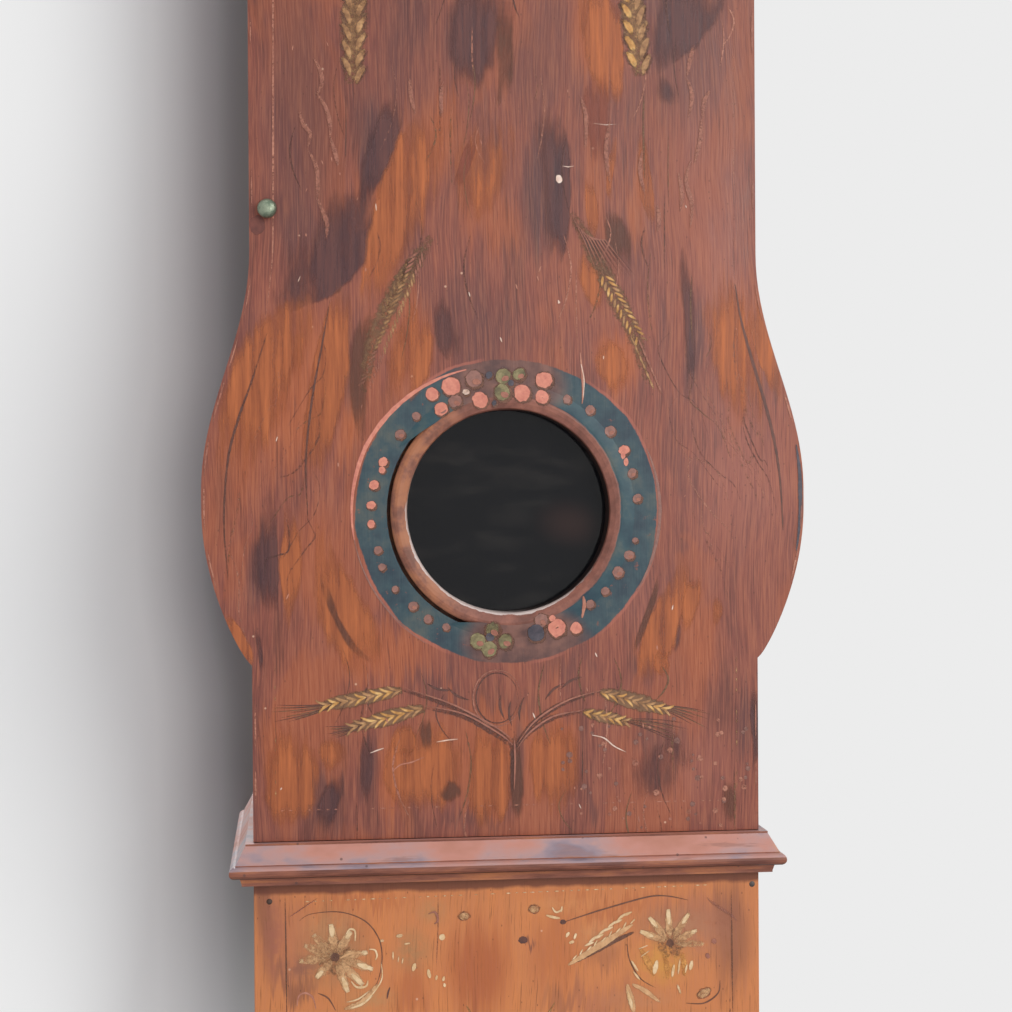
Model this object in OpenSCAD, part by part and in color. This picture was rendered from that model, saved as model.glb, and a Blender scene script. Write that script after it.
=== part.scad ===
// A free-standing longcase clock: a straight case with a violin-shaped trunk door, a glazed hood,
// and a weight-driven movement in an iron cage with a long pendulum.
// The clock faces -Y and stands on Z = 0, with its back at +Y. All sizes are in millimetres.

/* [Case] */
// Width of the trunk and of the plinth
trunk_w = 400; // [380:5:430]
// Full depth, from the wall to the front of the cornice
overall_d = 300; // [290:5:330]
// Height of the plinth, up to the waist moulding
plinth_h = 430; // [380:5:480]
// Thickness of the case boards
board_t = 18; // [16:1:20]
// Thickness of the planks at the back
back_t = 12; // [10:1:15]
// Height of the floor board above the ground
floor_z = 60; // [40:5:90]

/* [Trunk door] */
// Height of the trunk door
door_h = 1150; // [1120:10:1200]
// How far each ear of the door stands past the straight case
belly_out = 38.2; // [30:0.2:40]
// Height of the notch under the ears, from the bottom of the door
notch_up = 137; // [110:1:150]
// Height of the round lower part of an ear
belly_low = 122; // [100:1:140]
// Height of the straight widest part of an ear
belly_flat = 13; // [5:1:30]
// Height of the S-shaped upper part of an ear
belly_high = 187; // [150:1:220]
// Height of the window's centre, from the bottom of the door
window_up = 255; // [245:1:270]
// Radius of the window's opening
window_r = 80; // [70:1:84]
// Radius of the hole that the turned bezel sits in
bezel_hole_r = 95; // [92:1:98]
// Gap round the door
door_gap = 0.6; // [0.4:0.1:1.5]
// Height of the door knob above the window's centre
knob_up = 235.5; // [200:0.5:280]
// Radius of the door knob's head
knob_r = 7.5; // [6:0.5:9]

/* [Mouldings] */
// Height of the waist moulding
waist_h = 32; // [26:1:40]
// How far the waist moulding stands out
waist_out = 18.5; // [14:0.5:24]
// Height of the foot moulding
foot_h = 80; // [60:5:110]
// How far the foot moulding stands out
foot_out = 18.5; // [14:0.5:24]
// Height of the neck moulding
neck_h = 42; // [32:1:55]
// How far the neck moulding stands out
neck_out = 26; // [22:1:30]
// Height of the cornice
cornice_h = 60; // [45:1:75]
// How far the cornice stands out from the hood
cornice_out = 28; // [24:1:36]

/* [Hood] */
// Height of the hood's door opening, from the neck moulding to the cornice
hood_h = 470; // [460:5:500]
// How far the hood stands out from the trunk
hood_out = 14; // [13:0.5:18]
// Thickness of the hood's side boards
hood_t = 12; // [10:0.5:12]
// Half the width of the glass opening in the hood door
hood_glass_r = 146; // [142:1:150]
// Width of the hood door's bottom rail
hood_rail = 43; // [36:1:50]
// Rise of the arched crest above the cornice
crest_rise = 90; // [50:5:120]
// Height of the side windows
side_window_h = 200; // [150:10:240]
// Depth of the side windows, front to back
side_window_d = 100; // [60:10:120]

/* [Movement] */
// Height of the dial's centre above the seat board
dial_up = 135; // [130:1:140]
// Height of the pendulum's pivot above the dial's centre
pivot_up = 110; // [110:1:114]
// Radius of the enamel dial
dial_r = 112; // [106:1:116]
// Thickness of the seat board
seat_t = 20; // [16:1:25]
// Radius of the pendulum bob
bob_r = 62; // [50:1:68]
// Thickness of the pendulum bob at its middle
bob_t = 22; // [16:1:24]
// Swing of the pendulum to each side, in degrees
swing = 3; // [1.5:0.5:3]
// Radius of a driving weight
weight_r = 41; // [36:1:42]
// Height of a driving weight
weight_h = 140; // [110:5:160]
// Radius of the bell
bell_r = 54; // [45:1:60]

/* [Train] */
// Teeth of a great wheel
great_teeth = 96; // [84:12:96]
// Teeth of the centre wheel
centre_teeth = 64; // [60:4:64]
// Teeth of the third wheel
third_teeth = 60; // [56:4:60]
// Teeth of the escape wheel
escape_teeth = 27; // [24:1:30]
// Leaves of each pinion in the trains
leaves = 8; // [8:1:8]
// Radius of a drum's barrel
drum_r = 16; // [14:0.5:17]
// Diameter of a weight cord
cord_d = 2.4; // [2:0.2:3]

/* [Hidden] */
$fn = 64;
eps = 0.01;
run_fit = 0.05;
slack = 0.5;

// Places across and along the case
half_w = trunk_w / 2;
inner_w = half_w - board_t;
y_back = overall_d / 2;
y_plank = y_back - back_t;
y_hood = -overall_d / 2 + cornice_out;
y_face = y_hood + hood_out;
y_door_back = y_face + board_t;
y_case = y_door_back + door_gap;
y_hood_back = y_hood + board_t;
y_hood_case = y_hood_back + door_gap;
z_door = plinth_h + waist_h + door_gap;
z_window = z_door + window_up;
z_head = z_door + door_h + door_gap;
z_hood = z_head + neck_h;
z_cornice = z_hood + hood_h;
z_top = z_cornice + cornice_h;
seat_above = 24;
z_seat = z_hood + seat_above;
z_works = z_seat + seat_t;
hood_half = half_w + hood_out;
hood_inner = hood_half - hood_t;
roof_t = 12;

// Hinges: the pin stands off the side board, in the plane of the door's back
hinge_off = 5;
knuckle_r = 4.5;
pin_r = 2;
leaf_t = 2.5;
leaf_h = 60;
leaf_w = 34;
hinge_ends = [notch_up + 40, door_h - 130];
hood_hinge_ends = [50, hood_h - 110];

// Latches
knob_in = 14;
knob_x = -(half_w - knob_in);
z_knob = z_window + knob_up;
spindle_r = 3;
tongue_t = 3;
tongue_l = 24;
tongue_w = 8;
lip_t = 6;
latch_gap = 1.5;
latch_deep = lip_t + tongue_t + latch_gap + slack;
mortise = 5;
hood_knob_x = tongue_l - 1 - hood_inner - mortise;
z_hood_knob = z_hood + 190;

// Bezel and window glass
bezel_gap = 1.9;
bezel_shift = [1, 0.6];
bezel_r = bezel_hole_r - bezel_gap;
bezel_proud = 1.5;
flange_r = bezel_hole_r + 10;
flange_t = 5;
glass_t = 2.5;
glass_lap = 6;

// The movement's places: x and z of each arbor, and y of each plane
y_cage = [-20, 100];
strip_t = 4;
strip_edge = 13;
cage_plate_t = 5;
z_dial = z_works + dial_up;
z_pivot = z_dial + pivot_up;
cage_half = 110;
z_cage_top = z_pivot + 15;
post_w = 10;
drum_x = 45;
great_m = 1.25;
train_m = 1.15;
strike_m = 1;
warning_m = 0.9;
function centres(m, a, b) = m * (a + b) / 2;
great_c = centres(great_m, great_teeth, leaves);
drum_dz = -sqrt(great_c * great_c - drum_x * drum_x);
escape_dz = 79;
centre_c = centres(train_m, centre_teeth, leaves);
third_c = centres(train_m, third_teeth, leaves);
third_turn = acos((centre_c * centre_c + escape_dz * escape_dz - third_c * third_c)
    / (2 * centre_c * escape_dz));
at_centre = [0, z_dial];
at_going = [drum_x, z_dial + drum_dz];
at_strike = [-drum_x, z_dial + drum_dz];
at_third = at_centre + centre_c * [sin(third_turn), cos(third_turn)];
at_escape = [0, z_dial + escape_dz];
at_pivot = [0, z_pivot];
pin_teeth = 60;
warning_teeth = 56;
pin_turn = -15;
warning_turn = 25;
fly_turn = -20;
at_pin = at_strike + great_c * [sin(pin_turn), cos(pin_turn)];
at_warning = at_pin + centres(strike_m, pin_teeth, leaves) * [sin(warning_turn), cos(warning_turn)];
at_fly = at_warning + centres(warning_m, warning_teeth, leaves) * [sin(fly_turn), cos(fly_turn)];
hammer_x = 92;
at_hammer = [-hammer_x, at_escape[1] - 8];
arbor_r = 2.5;
pivot_r = 1.5;
drum_arbor_r = 3;
y_going_great = [76, 79];
y_strike_great = [84, 87];
y_drum = [20, 70];
y_centre_wheel = [50, 52];
y_third_wheel = [30, 32];
y_escape_wheel = [12, 14];
y_pin_wheel = [60, 62];
y_warning_wheel = [38, 40];
y_fly = [62, 88];
y_hammer = 52;
pinion_over = 1.5;

// Motion work, dial and hands, all in front of the pendulum
y_pendulum = -35;
y_cannon = [-50, -44];
y_minute_wheel = [-47.5, -45];
y_minute_pinion = [-54.5, -50.5];
y_hour_wheel = [-53.5, -51];
y_dial_plate = [-62, -60.5];
y_dial = -66;
y_hour_hand = [-73.2, -72];
y_minute_hand = [-77.2, -76];
y_hand_nut = [-82, -77.3];
cannon_m = 20 * 2 / 48;
hour_m = 20 * 2 / 50;
at_stud = at_centre + 20 * [cos(225), sin(225)];
pipe_r = 4;
hour_pipe_r = 6.5;
stud_r = 2;
winding_hole_r = 6;

// Pendulum
rod_w = 7;
rod_t = 3;
ring_r = arbor_r + pivot_up * sin(swing) + 6.7;
bob_z = z_window - 4;
cord_r = cord_d / 2;
cord_x = drum_x + drum_r + cord_r;
y_cord = 45;
z_weight_top = z_seat - 90;
hook_h = 22;
cord_slot = [14, 36];

// Bars and boxes
module block(low, high) {
    translate(low) cube(high - low);
}

module y_rod(at, y, r) {
    translate([at[0], y[0], at[1]]) rotate([-90, 0, 0]) cylinder(r = r, h = y[1] - y[0]);
}

module y_plate(at, y) {
    translate([at[0], y[1], at[1]]) rotate([90, 0, 0]) linear_extrude(y[1] - y[0]) children();
}

function turned(r, a) = r * [cos(a), sin(a)];
function ring_points(r, n) = [for (i = [0 : n - 1]) turned(r, 360 * i / n)];
function arc_points(at, r, a, b, n) = [for (i = [0 : n]) at + turned(r, a + (b - a) * i / n)];

// A moulding that runs round the front and both sides, with mitred corners. Its profile is a list of
// [how far out, how high] points, from the top at the wall to the bottom at the wall.
module moulding(profile, half, y_front, z) {
    out = max([for (p = profile) p[0]]);
    difference() {
        intersection() {
            translate([-half - out, 0, z]) rotate([90, 0, 90]) linear_extrude(2 * (half + out))
                polygon(concat(
                    [for (p = profile) [y_front - p[0], p[1]]],
                    [[y_back, profile[len(profile) - 1][1]], [y_back, profile[0][1]]]
                ));
            translate([0, y_back, z]) rotate([90, 0, 0]) linear_extrude(y_back - y_front + out)
                polygon(concat(
                    [for (p = profile) [half + p[0], p[1]]],
                    [for (i = [len(profile) - 1 : -1 : 0]) [-half - profile[i][0], profile[i][1]]]
                ));
        }
        block([-half, y_front, z - 1], [half, y_back + 1, z + profile[0][1] + 1]);
    }
}

// A turned or pinned hinge: knuckles on a vertical pin, in the plane of a door's back
module fixed_leaf(side_x, y_plane, z) {
    x = side_x + hinge_off;
    third = leaf_h / 3;
    difference() {
        union() {
            block([side_x, y_plane + 1, z - leaf_h / 2], [side_x + leaf_t, y_plane + leaf_w, z + leaf_h / 2]);
            for (end = [-1, 1])
                translate([x, y_plane, z + end * third - third / 2]) cylinder(r = knuckle_r, h = third);
        }
        block([side_x - 1, y_plane - 1, z - third / 2 - slack],
            [side_x + leaf_t + 1, y_plane + knuckle_r + slack, z + third / 2 + slack]);
        translate([x, y_plane, z - third / 2 - slack]) cylinder(r = knuckle_r + slack, h = third + 2 * slack);
    }
    translate([x, y_plane, z - leaf_h / 2 - 2]) cylinder(r = pin_r, h = leaf_h + 4);
}

module moving_leaf(side_x, y_plane, z) {
    x = side_x + hinge_off;
    third = leaf_h / 3;
    difference() {
        union() {
            block([side_x - leaf_w, y_plane - leaf_t, z - leaf_h / 2], [x, y_plane, z + leaf_h / 2]);
            translate([x, y_plane, z - third / 2]) cylinder(r = knuckle_r, h = third);
        }
        for (end = [-1, 1])
            translate([x, y_plane, z + end * third - third / 2 - slack])
                cylinder(r = knuckle_r + slack, h = third + 2 * slack - eps);
        translate([x, y_plane, z - leaf_h / 2 - 1]) cylinder(r = pin_r + run_fit, h = leaf_h + 2);
    }
}

module leaf_recess(side_x, y_plane, z) {
    block([side_x - leaf_w - 0.2, y_plane - leaf_t - eps, z - leaf_h / 2 - 0.2],
        [side_x + hinge_off, y_plane + 1, z + leaf_h / 2 + 0.2]);
    translate([side_x + hinge_off, y_plane, z - leaf_h / 2 - 3]) cylinder(r = knuckle_r + 1, h = leaf_h + 6);
}

// Case

// The board on the latch side has a facing strip at its front, let out for the latch: a cheek closes the
// gap from outside, and the tongue turns up behind a keeper
module side_left() {
    reach = tongue_w / 2 + latch_gap;
    low = z_knob - reach;
    high = z_knob + tongue_l + latch_gap;
    y = y_case + latch_deep;
    cheek_x = knob_x - reach;
    color("saddlebrown") {
        block([-half_w, y + eps, 0], [-inner_w, y_plank, z_seat]);
        block([-half_w, y_case, 0], [-inner_w, y, low]);
        block([-half_w, y_case, high], [-inner_w, y, z_seat]);
        block([-half_w, y_case, low + eps], [cheek_x, y, high - eps]);
        block([cheek_x + eps, y_case, z_knob + reach], [-inner_w, y_case + lip_t, high - eps]);
    }
}

module side_right() {
    color("saddlebrown") block([inner_w, y_case, 0], [half_w, y_plank, z_seat]);
}

module back_planks() {
    planks = 3;
    w = trunk_w / planks;
    color("sienna") for (i = [0 : planks - 1])
        block([-half_w + i * w + (i > 0 ? 0.5 : 0), y_plank, 0], [-half_w + (i + 1) * w, y_back, z_hood]);
    color("sienna") block([-hood_half, y_plank, z_hood + eps], [hood_half, y_back, z_top - roof_t]);
}

module plinth_front() {
    color("chocolate") block([-half_w, y_face, 0], [half_w, y_case, plinth_h + waist_h]);
}

module plinth_floor() {
    color("sienna") block([-inner_w, y_case, floor_z], [inner_w, y_plank, floor_z + board_t]);
}

module foot_moulding() {
    top = foot_h;
    color("brown") moulding(concat(
        [[0, top], [4, top]],
        arc_points([foot_out - 1, top - 2], foot_out - 5, 180, 250, 6),
        [[foot_out, top - 20], [foot_out, 0], [0, 0]]
    ), half_w, y_face, 0);
}

module waist_moulding() {
    nose_r = waist_h * 0.15;
    nose_z = waist_h * 0.35;
    color("rosybrown") moulding(concat(
        [[0, waist_h], [6, waist_h], [6, waist_h - 1.5], [waist_out - nose_r, nose_z + nose_r + 0.8]],
        arc_points([waist_out - nose_r, nose_z], nose_r, 90, -90, 8),
        [[waist_out - 8, nose_z - nose_r], [waist_out - 9.5, 1.5], [waist_out - 9.5, 0], [0, 0]]
    ), half_w, y_face, plinth_h);
}

module head_rail() {
    color("chocolate") block([-half_w, y_face, z_head], [half_w, y_case, z_hood]);
}

module neck_moulding() {
    cove = neck_out - 8;
    color("brown") moulding(concat(
        [[0, neck_h], [neck_out, neck_h], [neck_out, neck_h - 7], [neck_out - 3, neck_h - 7]],
        arc_points([neck_out - 3, neck_h - 9 - cove], cove, 90, 180, 8),
        [[5, neck_h - 9 - cove - 4], [5, 4], [3, 0], [0, 0]]
    ), half_w, y_face, z_head);
}

module seat_board() {
    color("peru") difference() {
        block([-half_w + 2, y_cage[0] - 2, z_seat], [half_w - 2, y_plank, z_works]);
        cord_slots();
    }
}

module cord_slots() {
    for (side = [-1, 1])
        translate([side * cord_x - cord_slot[0] / 2, y_cord - cord_slot[1] / 2, z_seat - 1])
            cube([cord_slot[0], cord_slot[1], seat_t + cage_plate_t + 2]);
}

// Hood

module hood_sides() {
    z = [z_hood + eps, z_top - roof_t];
    y_win = (y_case + y_plank) / 2;
    z_win = z_dial + 20;
    color("saddlebrown") for (side = [-1, 1]) difference() {
        block([side > 0 ? hood_inner : -hood_half, y_hood_case, z[0]],
            [side > 0 ? hood_half : -hood_inner, y_plank, z[1]]);
        block([side * hood_half - hood_t - 1, y_win - side_window_d / 2, z_win - side_window_h / 2],
            [side * hood_half + hood_t + 1, y_win + side_window_d / 2, z_win + side_window_h / 2]);
        if (side < 0)
            block([-hood_inner - mortise, y_hood_case + lip_t - 1, z_hood_knob - tongue_w / 2 - latch_gap],
                [-hood_inner + 1, y_hood_case + latch_deep, z_hood_knob + tongue_w * 1.5 + latch_gap]);
    }
}

module hood_side_glass() {
    y_win = (y_case + y_plank) / 2;
    z_win = z_dial + 20;
    color("lightcyan", 0.4) for (side = [-1, 1])
        translate([side * (hood_half - hood_t / 2), y_win, z_win])
            cube([glass_t, side_window_d - 0.4, side_window_h - 0.4], center = true);
}

module hood_roof() {
    color("sienna") block([-hood_half, y_hood_case, z_top - roof_t], [hood_half, y_back, z_top]);
}

module cornice() {
    bead = 4;
    cove = cornice_out - 12;
    color("brown") moulding(concat(
        [[0, cornice_h], [cornice_out, cornice_h], [cornice_out, cornice_h - 10]],
        [[cornice_out - 4, cornice_h - 12]],
        arc_points([cornice_out - 4, cornice_h - 14 - cove], cove, 90, 180, 8),
        [[8, cornice_h - 18 - cove], [4, cornice_h - 18 - cove]],
        arc_points([4, 6], bead, 80, -90, 6),
        [[0, 2]]
    ), hood_half, y_hood, z_cornice);
}

module crest() {
    steps = 32;
    shoulder = 14;
    color("chocolate") y_plate([0, z_cornice], [y_hood, y_hood_back]) polygon(concat(
        [[-hood_half, 0], [hood_half, 0]],
        [for (i = [0 : steps]) let (x = hood_half * (1 - 2 * i / steps))
            [x, cornice_h + shoulder + (crest_rise - shoulder) * pow(max(0, cos(90 * x / hood_half)), 1.5)]]
    ));
}

// Trunk door

function belly(t) =
    t <= 0 ? 0
    : t < belly_low ? belly_out * pow(sin(90 * t / belly_low), 0.78)
    : t < belly_low + belly_flat ? belly_out
    : t < belly_low + belly_flat + belly_high
        ? belly_out * (1 + cos(180 * (t - belly_low - belly_flat) / belly_high)) / 2
    : 0;

function belly_edge(side) = let (tall = belly_low + belly_flat + belly_high, steps = 44)
    [for (i = [0 : steps]) let (t = tall * pow(i / steps, 1.3)) [side * (half_w + belly(t)), notch_up + t]];

module door_outline() {
    left = belly_edge(-1);
    polygon(concat(
        [[-half_w, 0], [half_w, 0]],
        belly_edge(1),
        [[half_w, door_h], [-half_w, door_h]],
        [for (i = [len(left) - 1 : -1 : 0]) left[i]]
    ));
}

module trunk_door() {
    color("sienna") difference() {
        y_plate([0, z_door], [y_face, y_door_back]) door_outline();
        y_rod([0, z_window], [y_face - 1, y_door_back + 1], bezel_hole_r);
        y_rod([knob_x, z_knob], [y_face - 1, y_door_back + 1], spindle_r + run_fit);
        for (end = hinge_ends) leaf_recess(half_w, y_door_back, z_door + end);
    }
}

module door_battens() {
    h = 60;
    half = inner_w - 14;
    color("peru") for (z = [35, door_h - 35 - h])
        block([-half, y_door_back, z_door + z], [half, y_door_back + 14, z_door + z + h]);
}

module window_bezel() {
    deep = y_door_back - y_face;
    color("brown") translate([bezel_shift[0], y_face, z_window + bezel_shift[1]]) rotate([-90, 0, 0])
        rotate_extrude($fn = 96) polygon([
            [window_r, 3], [window_r + 1, 0.5], [window_r + 5, -bezel_proud + 0.4],
            [window_r + 8, -bezel_proud], [bezel_r - 3, -bezel_proud + 0.3], [bezel_r - 1, 0],
            [bezel_r, 1], [bezel_r, deep], [flange_r, deep], [flange_r, deep + flange_t],
            [window_r + glass_lap + 0.4, deep + flange_t],
            [window_r + glass_lap + 0.4, deep + flange_t - glass_t - 1],
            [window_r, deep + flange_t - glass_t - 1]
        ]);
}

module window_glass() {
    y = y_door_back + flange_t - 1;
    color("darkslategray", 0.5)
        y_rod([bezel_shift[0], z_window + bezel_shift[1]], [y - glass_t, y], window_r + glass_lap);
}

module door_hinge_leaves() {
    color("dimgray") for (end = hinge_ends) moving_leaf(half_w, y_door_back, z_door + end);
}

module fixed_hinge_leaves() {
    color("dimgray") for (end = hinge_ends) fixed_leaf(half_w, y_door_back, z_door + end);
    color("dimgray") for (end = hood_hinge_ends) fixed_leaf(hood_half, y_hood_back, z_hood + end);
}

// A turn button: a round head in front, a spindle through the board and a tongue behind it
module knob_head(at, y) {
    r = knob_r;
    translate([at[0], y, at[1]]) rotate([90, 0, 0]) rotate_extrude($fn = 48) polygon(concat(
        [[0, 0], [r * 0.55, 0], [r * 0.5, 2.5], [r * 0.9, 4]],
        arc_points([r * 0.35, 5.2], r * 0.65, -20, 90, 6),
        [[0, 5.4 + r * 0.65]]
    ));
}

module tongue(at, y, turn) {
    y_plate(at, [y, y + tongue_t]) rotate(turn) union() {
        circle(d = tongue_w);
        translate([0, -tongue_w / 2]) square([tongue_l - 2, tongue_w]);
    }
}

module door_knob() {
    color("darkkhaki") {
        knob_head([knob_x, z_knob], y_face - 0.3);
        y_rod([knob_x, z_knob], [y_face - 0.3 - eps, y_case + lip_t + 0.5], spindle_r);
    }
}

module latch_tongue() {
    color("dimgray") tongue([knob_x, z_knob], y_case + lip_t + 0.5, 0);
}

// Hood door

module glass_outline(grow) {
    low = z_hood + hood_rail;
    arch = z_cornice - hood_rail + 2 - hood_glass_r;
    translate([-hood_glass_r - grow, low - grow])
        square([2 * (hood_glass_r + grow), arch - low + grow]);
    intersection() {
        translate([0, arch]) circle(r = hood_glass_r + grow, $fn = 96);
        translate([-hood_glass_r - grow, arch - 1]) square([2 * (hood_glass_r + grow), 2 * hood_glass_r]);
    }
}

module hood_door_frame() {
    color("saddlebrown") difference() {
        block([-hood_half, y_hood, z_hood + door_gap], [hood_half, y_hood_back, z_cornice - door_gap]);
        y_plate([0, 0], [y_hood - 1, y_hood_back + 1]) glass_outline(0);
        y_plate([0, 0], [y_hood + 11, y_hood_back + 1]) glass_outline(6);
        y_rod([hood_knob_x, z_hood_knob], [y_hood - 1, y_hood_back + 1], spindle_r + run_fit);
        for (end = hood_hinge_ends) leaf_recess(hood_half, y_hood_back, z_hood + end);
    }
}

module hood_glass() {
    color("lightcyan", 0.3) y_plate([0, 0], [y_hood + 11, y_hood + 11 + glass_t]) glass_outline(5.7);
}

module hood_hinge_leaves() {
    color("dimgray") for (end = hood_hinge_ends) moving_leaf(hood_half, y_hood_back, z_hood + end);
}

module hood_latch() {
    color("darkkhaki") {
        knob_head([hood_knob_x, z_hood_knob], y_hood - 0.3);
        y_rod([hood_knob_x, z_hood_knob], [y_hood - 0.3 - eps, y_hood_case + lip_t + 0.5], spindle_r);
    }
    color("dimgray") tongue([hood_knob_x, z_hood_knob], y_hood_case + lip_t + 0.5, 90);
}

// Movement: the cage and what is fixed to it

module movement_cage() {
    color("dimgray") {
        difference() {
            block([-cage_half, y_cage[0], z_works], [cage_half, y_cage[1], z_works + cage_plate_t]);
            cord_slots_at_cage();
        }
        difference() {
            block([-cage_half, y_cage[0], z_cage_top], [cage_half, y_cage[1], z_cage_top + cage_plate_t]);
            block([-cage_half - 1, y_hammer - 7, z_cage_top - 1],
                [at_hammer[0] + 8, y_hammer + 7, z_cage_top + cage_plate_t + 1]);
        }
        for (x = [-cage_half, cage_half - post_w], y = [y_cage[0], y_cage[1] - post_w])
            block([x, y, z_works + cage_plate_t], [x + post_w, y + post_w, z_cage_top]);
    }
}

module cord_slots_at_cage() {
    translate([0, 0, seat_t]) cord_slots();
}

function arbors() = [
    [at_centre, arbor_r], [at_third, pivot_r], [at_escape, pivot_r], [at_pivot, pivot_r],
    [at_going, drum_arbor_r], [at_strike, drum_arbor_r], [at_pin, pivot_r], [at_warning, pivot_r],
    [at_fly, pivot_r], [at_hammer, pivot_r],
];

module pivot_strips() {
    right = [drum_x - strip_edge, drum_x + strip_edge];
    middle = [-strip_edge, at_third[0] + strip_edge];
    left = [-hammer_x - strip_edge / 2, -drum_x + strip_edge];
    color("slategray") for (y = [y_cage[0], y_cage[1] - strip_t]) difference() {
        for (x = [right, middle, left])
            block([x[0], y, z_works + cage_plate_t], [x[1], y + strip_t, z_cage_top]);
        for (a = arbors()) y_rod(a[0], [y - 1, y + strip_t + 1], a[1] + run_fit);
    }
}

module dial_plate() {
    feet_x = cage_half - post_w / 2;
    color("dimgray") {
        difference() {
            y_rod(at_centre, y_dial_plate, dial_r + 4);
            y_rod(at_centre, [y_dial_plate[0] - 1, y_dial_plate[1] + 1], hour_pipe_r + 2);
            winding_holes(y_dial_plate);
        }
        for (x = [-feet_x, feet_x], z = [z_dial - 92, z_dial + 92])
            y_rod([x, z], [y_dial_plate[0], y_cage[0] - eps], 3.5);
        for (z = [z_dial - 92, z_dial + 92])
            block([-feet_x, y_dial_plate[0], z - 6], [feet_x, y_dial_plate[1], z + 6]);
        y_rod(at_stud, [y_dial_plate[0], y_minute_wheel[1] + 2], stud_r);
    }
}

module winding_holes(y) {
    for (at = [at_going, at_strike]) y_rod(at, [y[0] - 8, y[1] + 2], winding_hole_r);
}

module enamel_dial() {
    y = y_dial_plate[0];
    color("ivory") difference() {
        translate([0, y - eps, z_dial]) rotate([90, 0, 0]) rotate_extrude($fn = 96) polygon([
            [0, 0], [dial_r, 0], [dial_r, 1], [dial_r * 0.97, 1.8], [dial_r * 0.7, 3.2],
            [dial_r * 0.35, 3.8], [0, 4]
        ]);
        y_rod(at_centre, [y - 10, y + 2], hour_pipe_r + 1.5);
        winding_holes([y, y + 2]);
    }
}

module surround_outline() {
    half = hood_glass_r + 4;
    low = z_hood + hood_rail - 6;
    arch = z_cornice - hood_rail + 2 - hood_glass_r;
    translate([-half, low]) square([2 * half, arch - low]);
    translate([0, arch]) circle(r = half, $fn = 96);
}

module brass_surround() {
    color("goldenrod") difference() {
        y_plate([0, 0], [y_dial_plate[0] - 3, y_dial_plate[0] - eps]) surround_outline();
        y_rod(at_centre, [y_dial_plate[0] - 5, y_dial_plate[1]], dial_r + 0.5);
    }
}

module suspension_cock() {
    color("darkgoldenrod") {
        block([-9, -44, z_pivot + 10], [9, y_cage[0] - eps, z_cage_top]);
        block([-6, -44, z_pivot - 5], [6, -41, z_pivot + 10 + eps]);
        y_rod(at_pivot, [-42, -31], pivot_r);
    }
}

module bell_stand() {
    z = z_cage_top + cage_plate_t;
    color("gray") {
        translate([0, y_hammer, z]) cylinder(r = 4, h = 30 + bell_r * 0.7);
        translate([0, y_hammer, z + 30 + bell_r * 0.7]) cylinder(r = 2.5, h = 14);
        translate([0, y_hammer, z + 33 + bell_r * 0.7]) cylinder(r = 6, h = 6, $fn = 6);
    }
}

// A dome whose crown is flat where the stand carries it
function dome(r, h, crown) = [for (i = [0 : 12]) let (a = 90 * i / 12)
    [crown + (r - crown) * pow(max(0, cos(a)), 0.7), h * sin(a)]];

module bell() {
    t = 3;
    hole = 2.7;
    crown = 7;
    h = bell_r * 0.7;
    inner = dome(bell_r - t, h, crown);
    outer = dome(bell_r, h + t, crown);
    color("darkkhaki") translate([0, y_hammer, z_cage_top + cage_plate_t + 30])
        rotate_extrude($fn = 96) polygon(concat(
            inner,
            [[hole, h], [hole, h + t]],
            [for (i = [len(outer) - 1 : -1 : 0]) outer[i]]
        ));
}

// Pendulum and anchor

module pendulum_rod() {
    block_h = 12;
    color("gray") {
        difference() {
            block([-5, y_pendulum - 3, z_pivot - block_h / 2], [5, y_pendulum + 3, z_pivot + block_h / 2]);
            y_rod(at_pivot, [y_pendulum - 4, y_pendulum + 4], pivot_r + run_fit);
        }
        difference() {
            union() {
                block([-rod_w / 2, y_pendulum - rod_t / 2, bob_z - bob_r - 16],
                    [rod_w / 2, y_pendulum + rod_t / 2, z_pivot - block_h / 2 - 14]);
                y_rod(at_centre, [y_pendulum - rod_t / 2, y_pendulum + rod_t / 2], ring_r + 4);
            }
            y_rod(at_centre, [y_pendulum - rod_t, y_pendulum + rod_t], ring_r);
            block([-rod_w, y_pendulum - rod_t, bob_z - bob_r - 20],
                [rod_w, y_pendulum + rod_t, bob_z + bob_r + 1]);
        }
        translate([0, y_pendulum, bob_z - bob_r - 20]) cylinder(r = 2, h = 2 * bob_r + 21 + eps);
    }
}

module suspension_spring() {
    color("silver") block([-4, y_pendulum - 0.2, z_pivot - 20], [4, y_pendulum + 0.2, z_pivot - 6]);
}

module pendulum_bob() {
    half = bob_t / 2;
    rim = 2;
    lens = [[0, 1], [0.3, 0.94], [0.6, 0.75], [0.85, 0.42]];
    color("darkgoldenrod") difference() {
        translate([0, y_pendulum, bob_z]) rotate([90, 0, 0]) rotate_extrude($fn = 96) polygon(concat(
            [for (p = lens) [bob_r * p[0], -half * p[1]]],
            [[bob_r, -rim], [bob_r, rim]],
            [for (i = [len(lens) - 1 : -1 : 0]) [bob_r * lens[i][0], half * lens[i][1]]]
        ));
        translate([0, y_pendulum, bob_z - bob_r - 1]) cylinder(r = 2 + run_fit, h = 2 * bob_r + 2);
    }
}

module rating_nut() {
    color("goldenrod") difference() {
        translate([0, y_pendulum, bob_z - bob_r - 8]) cylinder(r = 8, h = 8);
        translate([0, y_pendulum, bob_z - bob_r - 9]) cylinder(r = 2 + run_fit, h = 10);
    }
}

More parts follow.
